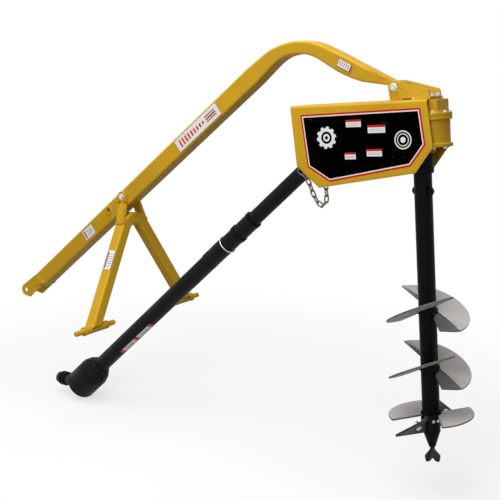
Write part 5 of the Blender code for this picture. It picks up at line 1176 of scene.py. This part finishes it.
def round_flange(height, growth, count, size, down=False):
    """Bolt heads set at equal steps along the gearbox's plan."""
    loop = stadium(BOX_HALF_LENGTH + growth, BOX_HALF_WIDTH + growth, 60)
    loop = np.vstack([loop, loop[:1]])
    travel = travelled(loop)
    marks = (np.arange(count) + 0.5) / count * travel[-1]
    spots = read_off(loop, travel, marks)
    washer = turned([(0.0, 0.0), (0.0, 1.25 * size), (0.0012, 1.25 * size), (0.0012, 0.0)], 32, 0.0003)
    head = washer + hexagon(size, 0.0012, 0.0058, 48)
    if down:
        head = head.turned_to(about("X", math.pi))
    return joined([head.at((x + AUGER_X, y, height)) for x, y in spots])


def make_head():
    softened("hanger_bracket", "hanger_lugs", "head", "yellow_paint", yellow, 0.0014)
    form = bolt(0.010, 0.077 + 2 * (0.010 + SKIN), low_head=True).turned_to(ON_Y)
    make("hanger_bolt_and_nut", form, HEAD, "head", zinc, ("hanger_bolt",))
    seat = SHIELD_TOP + 2 * SKIN + 0.007
    for index, (x, y) in enumerate(((0.094, -0.025), (0.094, 0.025), (0.124, -0.025), (0.124, 0.025))):
        form = turned([(seat + 0.001, 0.0), (seat + 0.001, 0.007), (SHIELD_TOP - 0.025, 0.007),
                       (SHIELD_TOP - 0.025, 0.0)], 32, 0.0004)
        form += turned([(seat + 0.0016, 0.0), (seat + 0.0016, 0.0150), (seat, 0.0150),
                        (seat, 0.0)], 40, 0.0003)
        form += hexagon(0.0125, seat + 0.0016, seat + 0.009)
        make("cap_screw_%d" % (index + 1), form.at((x, y, 0)), HEAD, "head", zinc,
             ("cap_bolt_%d" % (index + 1),))

    wall, bore = -0.008, 0.0265 - BOX_HALF_WIDTH
    top = BOX_SPLIT - SKIN
    form = casting([(BOX_FLOOR, bore), (BOX_FLOOR, BOX_LIP), (BOX_FLOOR + 0.012, BOX_LIP),
                    (BOX_FLOOR + 0.012, 0.0), (top - 0.012, 0.0), (top - 0.012, BOX_LIP), (top, BOX_LIP),
                    (top, wall), (BOX_FLOOR + 0.012, wall), (BOX_FLOOR + 0.012, bore)], 0.0022, True)
    boss = turned([(-0.0521, 0.020), (-0.0521, 0.036), (0.004, 0.036), (0.004, 0.020)], 64, 0.0025, True)
    form += boss.turned_to(ON_X, (0, 0, INPUT_Z))
    boss = turned([(-0.231, 0.0265), (-0.231, 0.044), (-0.222, 0.048), (-0.204, 0.048), (-0.204, 0.0265)],
                  64, 0.0022, True)
    form += boss.at((AUGER_X, 0, 0))
    for side in (-1, 1):
        for x in (0.030, 0.119):
            web = plate([(-0.003, 0), (0.003, 0), (0.003, 0.066), (-0.003, 0.066)], 0.005, 0.0012)
            form += web.turned_to(IN_XZ, (x, side * (BOX_HALF_WIDTH + 0.0022), BOX_FLOOR + 0.014))
    make("gearbox_casting", form, HEAD, "head", cast_yellow, ("gearbox_housing",), 32)
    form = casting([(BOX_SPLIT, -0.03), (BOX_SPLIT, BOX_LIP), (BOX_SPLIT + 0.012, BOX_LIP),
                    (BOX_SPLIT + 0.012, -0.03)], 0.0022)
    crown = SHIELD_TOP - 0.003 - SKIN
    height, grow = eased([(BOX_SPLIT + 0.010, 0.004), (BOX_SPLIT + 0.0125, 0.004), (BOX_SPLIT + 0.020, 0.0),
                          (crown, 0.0), (crown, -0.012)], 0.003, 4, closed=False)[0].T
    loops, wear = rounded_rows(0.0865 + grow, 0.050 + grow, 0.014 + grow, 9)
    heights = np.broadcast_to(height[:, None, None], (*loops.shape[:2], 1))
    rows = np.concatenate([loops + (AUGER_X, 0), heights], -1)
    form += shell(rows, 0.3 * wear)
    make("gearbox_lid", form, HEAD, "head", cast_yellow, ("gearbox_cap",), 32)
    form = round_flange(BOX_SPLIT + 0.012, -0.0005, 12, 0.0062)
    form += round_flange(BOX_FLOOR, -0.0075, 12, 0.0062, True)
    make("flange_screws", form, HEAD, "head", zinc)


CHAIN_PITCH = 0.026
CHAIN_WIRE = 0.003
CHAIN_Y = -0.044
PIN_ON_GUARD = 0.2235
CHAIN_HOOK = (-0.293, -0.286)
CHAIN_HANG = ((-0.378, -0.305), (-0.362, -0.334), (-0.345, -0.378), (-0.327, -0.407), (-0.310, -0.416),
              (-0.296, -0.406), (-0.290, -0.380), (-0.292, -0.345))


def make_chain():
    """Welded links along a Catmull-Rom curve, each turned a quarter from the last."""
    lean = DRIVE_SLOPE - HEAD_TILT
    pin = (JOINT_X - PIN_ON_GUARD * math.cos(lean), INPUT_Z - PIN_ON_GUARD * math.sin(lean))
    points = np.array([pin, *CHAIN_HANG, CHAIN_HOOK])
    past_pin = 0.0035 + SKIN + 0.0004
    for end, inner in ((0, 1), (-1, -2)):
        away = points[end] - points[inner]
        points[end] += away / np.linalg.norm(away) * past_pin
    knots = np.vstack([points[:1], points, points[-1:]])
    p, q, r, s = (knots[k:len(knots) - 3 + k, None] for k in range(4))
    t = np.linspace(0, 1, 12, endpoint=False)[None, :, None]
    route = 0.5 * (2 * q + (r - p) * t + (2 * p - 5 * q + 4 * r - s) * t ** 2
                   + (3 * q - p - 3 * r + s) * t ** 3)
    route = np.vstack([route.reshape(-1, 2), points[-1:]])
    travel = travelled(route)
    count = round(travel[-1] / CHAIN_PITCH)
    count += 1 - count % 2
    marks = np.linspace(0, travel[-1], count + 1)
    marks = read_off(route, travel, marks)
    half_width = 0.0105 - CHAIN_WIRE
    links = []
    for index in range(count):
        a, b = marks[index], marks[index + 1]
        reach = np.linalg.norm(b - a) / 2 + CHAIN_WIRE - 0.0004 - half_width
        loop = stadium(reach + half_width, half_width, 12)
        link = round_bar(np.column_stack([loop, 0 * loop[:, 0]]), CHAIN_WIRE, 12, True)
        weld = turned([(-0.002, 0.0), (-0.002, 0.0033), (0.002, 0.0033), (0.002, 0.0)], 12, 0.0008)
        link += weld.turned_to(ON_X, (0, half_width, 0))
        slope = math.atan2(b[1] - a[1], b[0] - a[0])
        turn = about("Y", -slope) @ about("X", math.pi / 2 * (1 + index % 2))
        links.append(link.turned_to(turn, ((a[0] + b[0]) / 2, CHAIN_Y, (a[1] + b[1]) / 2)))
    piece = make("shield_chain", joined(links), HEAD, None, chain_steel, ("guard_chain",))
    ends = HEAD(np.array([(CHAIN_HOOK[0], CHAIN_Y, CHAIN_HOOK[1]), (pin[0], CHAIN_Y, pin[1])]))
    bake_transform(piece)


# Auger
TUBE_RADIUS = 0.03175
FLIGHT_RADIUS = 0.1524
FLIGHT_TILT = math.radians(24.4)
FLIGHT_CLOCK = math.radians(67.9)
FLIGHT_LEVELS = (-0.7838, -0.9918)
FOLD_AT = 0.0185
FOLD_DOWN = math.radians(8.9)
BOTTOM_LEVEL = -1.172
BOTTOM_CLOCK = math.radians(335.7)
SPAN = 76.0
RIM_FROM = -27.2
BORE_FROM = 8.0
FLIGHT_THICKNESS = 0.006
FLIGHT_EASE = 0.0022
RIM_BAND = 0.00285
WELD_SIDES = (-0.0042, 0.0042)
TOOTH_LEAD = 12.0
TOOTH = ((0.0982, 0.0717, 0.014), (0.1411, -0.0358, -0.058), (0.0420, 0.0016, -0.058),
         (0.0470, 0.0335, 0.014))
AUGER_BOLT_CLOCK = math.radians(66.0)
AUGER_BOLT_RADIUS = 0.008
POINT_CLOCK = math.radians(20.0)
RING = np.radians(np.linspace(0, 356.25, 96))


def tube_weld(tilt, start, end, drop=0.0):
    """A bead where a plate that is tilted about x meets the tube; angles about the tube's axis."""
    angle = np.radians(np.linspace(start, end, 90))
    y = (TUBE_RADIUS + 0.001) * np.sin(angle)
    path = np.stack([(TUBE_RADIUS + 0.001) * np.cos(angle), y, y * math.tan(tilt) + drop], -1)
    return bead(path, 0.0035)


def make_blade(name, level, clock, folded):
    """Half a disc, tilted about its own x like a propeller's blade, cut out round the tube.

    The tube's round section becomes an ellipse in the tilted plane. A folded blade stops at FOLD_AT
    on one side, and its corner is a piece of its own, bent down about that line.
    """
    edge = 0.006
    sweep = math.degrees(math.acos(edge / FLIGHT_RADIUS))
    low = math.degrees(math.acos(FOLD_AT / FLIGHT_RADIUS)) if folded else sweep
    rim_line = arc((0, 0), FLIGHT_RADIUS, -low, sweep, 110)
    inner = TUBE_RADIUS - 0.0015
    start = math.acos(edge / inner)
    angle = np.linspace(start, -start, 40)
    hollow = np.stack([inner * np.cos(angle), inner * np.sin(angle) / math.cos(FLIGHT_TILT)], -1)
    if folded:
        hollow = np.vstack([hollow, [(edge, -0.0325), (FOLD_AT, -0.036)]])
    form = plate(np.vstack([rim_line, hollow]), FLIGHT_THICKNESS, FLIGHT_EASE)
    turn = about("Z", clock) @ about("X", FLIGHT_TILT)
    form = form.turned_to(turn, (0, 0, level))
    # The edge faces get a rim of 1, which the flight paint darkens: painted shade along with dark worn
    # paint, and chips.
    form.rim[np.abs(form.points @ turn[:, 2] - level * turn[2, 2]) < RIM_BAND] = 1.0
    make(name + "_blade", form, AUGER, "auger", flight_grey, (name,))
    if folded:
        corner = [(0.0, -0.036), (-0.034 + 0.002, -0.0494), (-0.0836 + 0.024, -0.1160), (-0.012, -0.1455),
                  (0.0, -0.1485)]
        flap = plate(corner, 0.005, 0.0016).turned_to(about("Y", -FOLD_DOWN), (FOLD_AT - 0.0002, 0, 0))
        flap = flap.turned_to(turn, (0, 0, level))
        # The corner's darker grey is painted shade.
        make(name + "_folded_corner", flap, AUGER, "auger", flap_grey_painted_shade)
    return [tube_weld(FLIGHT_TILT, -78, 78, shift).turned_to(about("Z", clock), (0, 0, level))
            for shift in WELD_SIDES]


def make_tooth(index, turn):
    """A cutting tooth: a skewed four-cornered sheet, ruled between its inner and outer edges."""
    outer_top, outer_low, inner_low, inner_top = np.array(TOOTH)
    across = np.linspace(0, 1, 18)[None, :, None]
    down = np.linspace(0, 1, 22)[:, None, None]
    grid = ((outer_top * (1 - down) + outer_low * down) * (1 - across)
            + (inner_top * (1 - down) + inner_low * down) * across)
    normal = np.cross(inner_low - outer_top, outer_low - inner_top)
    normal = normal / np.linalg.norm(normal)
    aim = about("Z", turn)
    place = np.asarray(grid).reshape(-1, 3) @ aim.T + (0, 0, BOTTOM_LEVEL)
    sheet_piece("auger_tooth_%d" % index, place.reshape(grid.shape), 0.0098, AUGER, "auger",
                tooth_steel, ("cutting_tooth_%d" % index,), 0.0016)
    middle = np.array(TOOTH).mean(0)
    side = np.cross(normal, (0.0, 0.0, 1.0))
    side = side / np.linalg.norm(side)
    axes = np.stack([side, np.cross(normal, side), normal], 1)
    form = bolt(0.006, 0.010 + 2 * SKIN, 0.003).turned_to(aim @ axes, aim @ middle + (0, 0, BOTTOM_LEVEL))
    make("tooth_screw_%d" % index, form, AUGER, "auger", zinc, ("tooth_bolt_%d" % index,))


def make_tooth_seat(index, turn):
    """A sheet bent round the tube from the tooth's inner edge, with two screws in it.

    Its upper and lower edges start at the tooth's and swing in to the tube's radius.
    """
    share = np.linspace(0, 1, 30)
    azimuth = np.radians(34.0 + 118.0 * share)
    reach = 0.0356 + 0.020 * np.clip(1 - share * 4, 0, 1) ** 2
    down = np.linspace(0, 1, 8)[:, None]
    level = 0.010 - down * (0.060 - 0.012 * np.sin(np.pi * share)[None] - 0.010 * share[None])
    grid = np.stack([(reach * np.cos(azimuth))[None] + 0 * level,
                     (reach * np.sin(azimuth))[None] + 0 * level, level], -1)
    grid = grid @ about("Z", turn).T + (0, 0, BOTTOM_LEVEL)
    head = hexagon(0.0062, 0.0, 0.0045, 48).turned_to(ON_X, (0.0370, 0, -0.016))
    screws = joined([head.turned_to(about("Z", turn + math.radians(angle))) for angle in (58.0, 84.0)])
    sheet_piece("tooth_seat_%d" % index, grid, 0.003, AUGER, "auger", auger_black, (), 0.0006)
    make("tooth_seat_screws_%d" % index, screws.at((0, 0, BOTTOM_LEVEL)), AUGER, "auger", steel)


def make_auger():
    welds = []
    for number, level in enumerate(FLIGHT_LEVELS):
        for turn, side in ((0.0, "right"), (math.pi, "left")):
            name = "flight_%d_%s" % (number + 1, side)
            welds += make_blade(name, level, FLIGHT_CLOCK + turn, side == "right")
    for index in (1, 2):
        clock = BOTTOM_CLOCK + (index - 1) * math.pi
        outline = np.vstack([arc((0, 0), FLIGHT_RADIUS, RIM_FROM, SPAN, 110),
                             arc((0, 0), TUBE_RADIUS - 0.001, SPAN, BORE_FROM, 40)])
        form = plate(outline, FLIGHT_THICKNESS, FLIGHT_EASE)
        # The edge faces get a rim of 1, which the flight paint darkens: painted shade along with dark worn
        # paint, and chips.
        form.rim[np.abs(form.points[:, 2]) < RIM_BAND] = 1.0
        form = form.turned_to(about("Z", clock), (0, 0, BOTTOM_LEVEL))
        make("bottom_blade_%d" % index, form, AUGER, "auger", flight_grey,
             ("bottom_flight_%d" % index,))
        for shift in WELD_SIDES:
            weld = tube_weld(0.0, BORE_FROM, SPAN, shift)
            welds.append(weld.turned_to(about("Z", clock), (0, 0, BOTTOM_LEVEL)))
        tooth_turn = clock - math.radians(SPAN + TOOTH_LEAD)
        make_tooth(index, tooth_turn)
        make_tooth_seat(index, tooth_turn)
    collar = np.stack([0.0352 * np.cos(RING), 0.0352 * np.sin(RING), 0 * RING - 0.2985], -1)
    make("auger_welds", joined(welds + [bead(collar, 0.003)]), AUGER, "auger", auger_black)

    profile = [(-0.234, TUBE_RADIUS), (-0.238, TUBE_RADIUS), (-0.238, 0.040), (-0.297, 0.040),
               (-0.297, TUBE_RADIUS), (-1.235, TUBE_RADIUS), (-1.296, 0.0115), (-1.296, 0.0085),
               (-1.235, 0.0255), (-0.234, 0.0255)]
    form = turned(profile, 96, 0.0014, True)
    make("auger_stem", form, AUGER, "auger", auger_black, ("auger_tube",), 32)
    aim = about("Z", AUGER_BOLT_CLOCK) @ np.array(ON_Y, float)
    form = bolt(AUGER_BOLT_RADIUS, 2 * TUBE_RADIUS + 2 * SKIN).turned_to(aim, (0, 0, -0.363))
    make("auger_bolt_and_nut", form, AUGER, "auger", auger_black, ("auger_bolt",))
    outline = [(-0.0067, -1.272), (-0.0067, -1.304), (-0.029, -1.330), (-0.024, -1.355), (-0.008, -1.350),
               (0.0, -1.337), (0.008, -1.350), (0.024, -1.355), (0.029, -1.330), (0.0067, -1.304),
               (0.0067, -1.272)]
    form = plate(eased(outline, 0.006, 5)[0], 0.010, 0.0026)
    form = form.turned_to(about("Z", POINT_CLOCK) @ np.array(IN_XZ))
    make("auger_point", form, AUGER, "auger", tooth_steel, ("fishtail_point",))


# Driveline
INNER_GUARD_RADIUS = 0.0295
OUTER_GUARD_RADIUS = 0.035
GUARD_WALL = 0.003


def make_driveline():
    bore = INNER_GUARD_RADIUS - GUARD_WALL
    profile = [(1.100, INNER_GUARD_RADIUS), (0.1225, INNER_GUARD_RADIUS), (0.112, 0.0325),
               (0.074, 0.0490), (0.066, 0.0490), (0.066, 0.055), (0.060, 0.055), (0.060, 0.052),
               (0.125, bore), (1.100, bore)]
    form = turned(profile, 80, 0.0009, True)
    for k in range(12):
        web = plate([(0.068, 0.045), (0.068, 0.0545), (0.112, 0.0335), (0.112, 0.0300)], 0.0026, 0.0005)
        web = web.turned_to(((0, 0, 1), (0, 1, 0), (1, 0, 0)))
        form += web.turned_to(about("Z", math.pi / 6 * k))
    form = form.turned_to(ON_X)
    pin = turned([(-0.028, 0.0), (-0.028, 0.0035), (0.048, 0.0035), (0.051, 0.0030),
                  (0.051, 0.0)], 24, 0.0006)
    pin = pin.turned_to(((1, 0, 0), (0, 0, -1), (0, 1, 0)), (PIN_ON_GUARD, -0.001, 0))
    make("inner_guard_tube", form + pin, DRIVE, "inner_guard", guard_black,
         ("upper_guard",), 30)

    form = turned([(1.6977, 0.035), (0.5537, 0.035), (0.5537, 0.037), (0.5417, 0.037), (0.5417, 0.0299),
                   (0.5537, 0.0299), (0.5537, 0.032), (1.6977, 0.032)], 80, 0.0009, True)
    make("outer_guard_tube", form.turned_to(ON_X), DRIVE, "outer_guard", guard_black,
         ("lower_guard",), 30)
    make_bell()
    radius = OUTER_GUARD_RADIUS + 0.003 + SKIN
    loop = np.stack([0 * RING + 0.7167, radius * np.cos(RING), radius * np.sin(RING)], -1)
    make("guard_wire_ring", round_bar(loop, 0.0026, 12, True), DRIVE, "outer_guard", zinc,
         ("guard_ring",))
    form = pipe(0.631, 0.649, 0.0383, 0.0353, 72, 0.0006).turned_to(ON_X)
    lug = plate(rounded_rows(0.008, 0.0065, 0.0015)[0][0], 0.004, 0.0008)
    form += lug.turned_to(IN_XZ, (0.640, -0.0385, 0.004))
    turn = about("X", math.atan2(-0.963, -0.27))
    strip = plate(dense(rounded_rows(0.0575, 0.005, 0.002)[0][0], 0.01), 0.0025, 0.0006)
    form += strip.turned_to(((1, 0, 0), (0, 0, 1), (0, -1, 0)), (0.790, 0.0362, 0)).turned_to(turn)
    make("guard_strap", form, DRIVE, "outer_guard", guard_black, ("guard_clip",))


def make_bell():
    """The moulded bell: a lathe form whose neck is notched by a wave of the angle."""
    start, end = DRIVE_LENGTH - 0.177, DRIVE_LENGTH + 0.016
    outer = [(end, 0.0685), (end - 0.006, 0.0690), (end - 0.0065, 0.0705), (start + 0.072, 0.0700),
             (start + 0.066, 0.0680), (start + 0.045, 0.0620), (start + 0.024, 0.0500),
             (start + 0.010, 0.0430), (start + 0.008, 0.0400), (start, 0.0385)]
    inner = [(start, 0.0353), (start + 0.0203, 0.0353), (start + 0.046, 0.056), (end, 0.0665)]
    form = turned(outer + inner, 144, 0.0016, True)
    x, y, z = form.points.T
    radius = np.hypot(x, y)
    angle = np.arctan2(y, x)
    notch = np.clip(2.2 * np.sin(12 * angle), -1, 1) * 0.5 - 0.5
    band = np.exp(-((z - start - 0.030) / 0.011) ** 4) * (radius > 0.0375)
    ripple = np.exp(-((z - end + 0.060) / 0.045) ** 4) * (radius > 0.064) * 0.25
    grown = radius + (0.0060 * band + 0.002 * ripple) * notch
    form.points[:, 0] *= grown / radius
    form.points[:, 1] *= grown / radius
    make("guard_bell_moulding", form.turned_to(ON_X), DRIVE, "outer_guard", guard_black,
         ("guard_bell",), 30)


def make_shafts():
    for row in (("upper_driveshaft", "inner_drive_shaft", "upper_shaft", "dark_steel", forged, 0.0012),
                ("lower_driveshaft", "outer_drive_shaft", "lower_shaft", "dark_steel", forged, 0.0012),
                ("upper_cross", "upper_joint_cross", "upper_shaft", "dark_steel", steel, 0.0008),
                ("pto_cross", "power_joint_cross", "pto_spider", "dark_steel", steel, 0.0008),
                ("pto_fork", "power_joint_fork", "pto_end", "dark_steel", forged, 0.0012),
                ("input_fork", "input_joint_fork", "input", "dark_steel", forged, 0.0012),
                ("clutch_hub", "slip_clutch_hub", "input", "dark_steel", forged, 0.0012),
                ("clutch_disc", "slip_clutch_disc", "input", "friction", friction, 0.0006),
                ("clutch_pressure_plate", "slip_clutch_plate", "input", "dark_steel", forged, 0.0012)):
        softened(*row)
    profile = [(0.130, 0.031), (0.127, 0.033), (0.118, 0.033), (0.117, 0.0318), (0.107, 0.0318),
               (0.106, 0.033), (0.097, 0.033), (0.094, 0.031), (0.094, 0.0259), (0.130, 0.0259)]
    form = turned(profile, 96, 0.0006, True)
    make("lock_collar_ring", form.turned_to(ON_X), PTO, "lock", auger_black,
         ("lock_collar",), 30)
    for node in ("output_shaft", "crown_gear", "input_shaft", "drive_pinion", "input_bearing",
                 "output_bearing"):
        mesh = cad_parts[node].data
        mesh.materials.clear()
        mesh.materials.append(steel)


# Floor, light and camera
FLOOR = min(cad_box[0][2], cad_box[1][2]) - 0.0005
ROOM_LIGHT = 0.40
GLOW_NEAR = 0.62
CAMERA_AT = (3.440, -3.080, 1.120)
CAMERA_BACK = (0.5638, -0.8004, 0.2035)
CAMERA_LENS = 69.8
LAMP_AIM = (1.1, 0, 0.4)
TOP_LAMP_WATTS = 92.0
FRONT_LAMP_WATTS = 66.0


def sees_directly(start):
    """1 for a ray of the camera, or one that gloss or glass sends on."""
    rays = [start.node("LightPath", {}, {}, name)
            for name in ("Is Camera Ray", "Is Glossy Ray", "Is Transmission Ray")]
    return rays[0].larger(rays[1]).larger(rays[2])


def make_stage():
    """A pale floor that turns to plain white away from the digger, under a white world."""
    material, start, spot = blank("pale_floor")
    away = spot.node("VectorMath", {"operation": "DISTANCE"}, {0: spot, 1: (0.9, 0.0, FLOOR)}, 1)
    matt = start.node("BsdfDiffuse", {}, {"Color": (0.86, 0.86, 0.86, 1.0), "Roughness": 1.0})
    glow = start.node("Emission", {}, {"Color": (1, 1, 1, 1), "Strength": sees_directly(start)})
    share = GLOW_NEAR + (1.0 - GLOW_NEAR) * away.rise(0.9, 2.6)
    mixed = start.node("MixShader", {}, {0: share, 1: matt, 2: glow})
    start.node("OutputMaterial", {}, {"Surface": mixed})
    mesh = bpy.data.meshes.new("pale_floor")
    corners = ((-60, -60), (60, -60), (60, 60), (-60, 60))
    mesh.from_pydata([(x, y, FLOOR) for x, y in corners], [], [(0, 1, 2, 3)])
    mesh.materials.append(material)
    floor = bpy.data.objects.new("pale_floor", mesh)
    bpy.context.scene.collection.objects.link(floor)

    world = bpy.data.worlds.new("white_studio")
    bpy.context.scene.world = world
    world.use_nodes = True
    world.node_tree.nodes.clear()
    start = Wire(world.node_tree)
    strength = sees_directly(start) * (1.0 - ROOM_LIGHT) + ROOM_LIGHT
    sky = start.node("Background", {}, {"Color": (1, 1, 1, 1), "Strength": strength})
    start.node("OutputWorld", {}, {"Surface": sky})


def softbox(name, at, aim, size, power):
    """A square lamp that faces a point."""
    lamp = bpy.data.lights.new(name, "AREA")
    lamp.shape = "SQUARE"
    lamp.size = size
    lamp.energy = power
    light = bpy.data.objects.new(name, lamp)
    back = np.array(at, float) - aim
    back = back / np.linalg.norm(back)
    side = np.cross((0.0, 1.0, 0.0), back)
    side = side / np.linalg.norm(side)
    axes = Matrix(np.stack([side, np.cross(back, side), back], 1))
    light.matrix_world = Matrix.Translation(at) @ axes.to_4x4()
    bpy.context.scene.collection.objects.link(light)


def make_camera():
    data = bpy.data.cameras.new("photo_view")
    data.lens = CAMERA_LENS
    data.sensor_width = 36.0
    camera = bpy.data.objects.new("photo_view", data)
    back = np.array(CAMERA_BACK) / np.linalg.norm(CAMERA_BACK)
    right = np.array([-back[1], back[0], 0.0]) / math.hypot(back[0], back[1])
    axes = np.stack([right, np.cross(back, right), back], 1)
    camera.matrix_world = Matrix.Translation(CAMERA_AT) @ Matrix(axes).to_4x4()
    bpy.context.scene.collection.objects.link(camera)
    bpy.context.scene.camera = camera


make_boom()
make_yoke()
make_shield()
make_prints()
make_head()
make_chain()
make_auger()
make_driveline()
make_shafts()
make_stage()
softbox("top_softbox", (1.2, -1.0, 3.4), LAMP_AIM, 3.0, TOP_LAMP_WATTS)
softbox("front_softbox", (2.2, -4.2, 1.8), LAMP_AIM, 2.2, FRONT_LAMP_WATTS)
make_camera()
bpy.context.scene.view_settings.view_transform = "Standard"
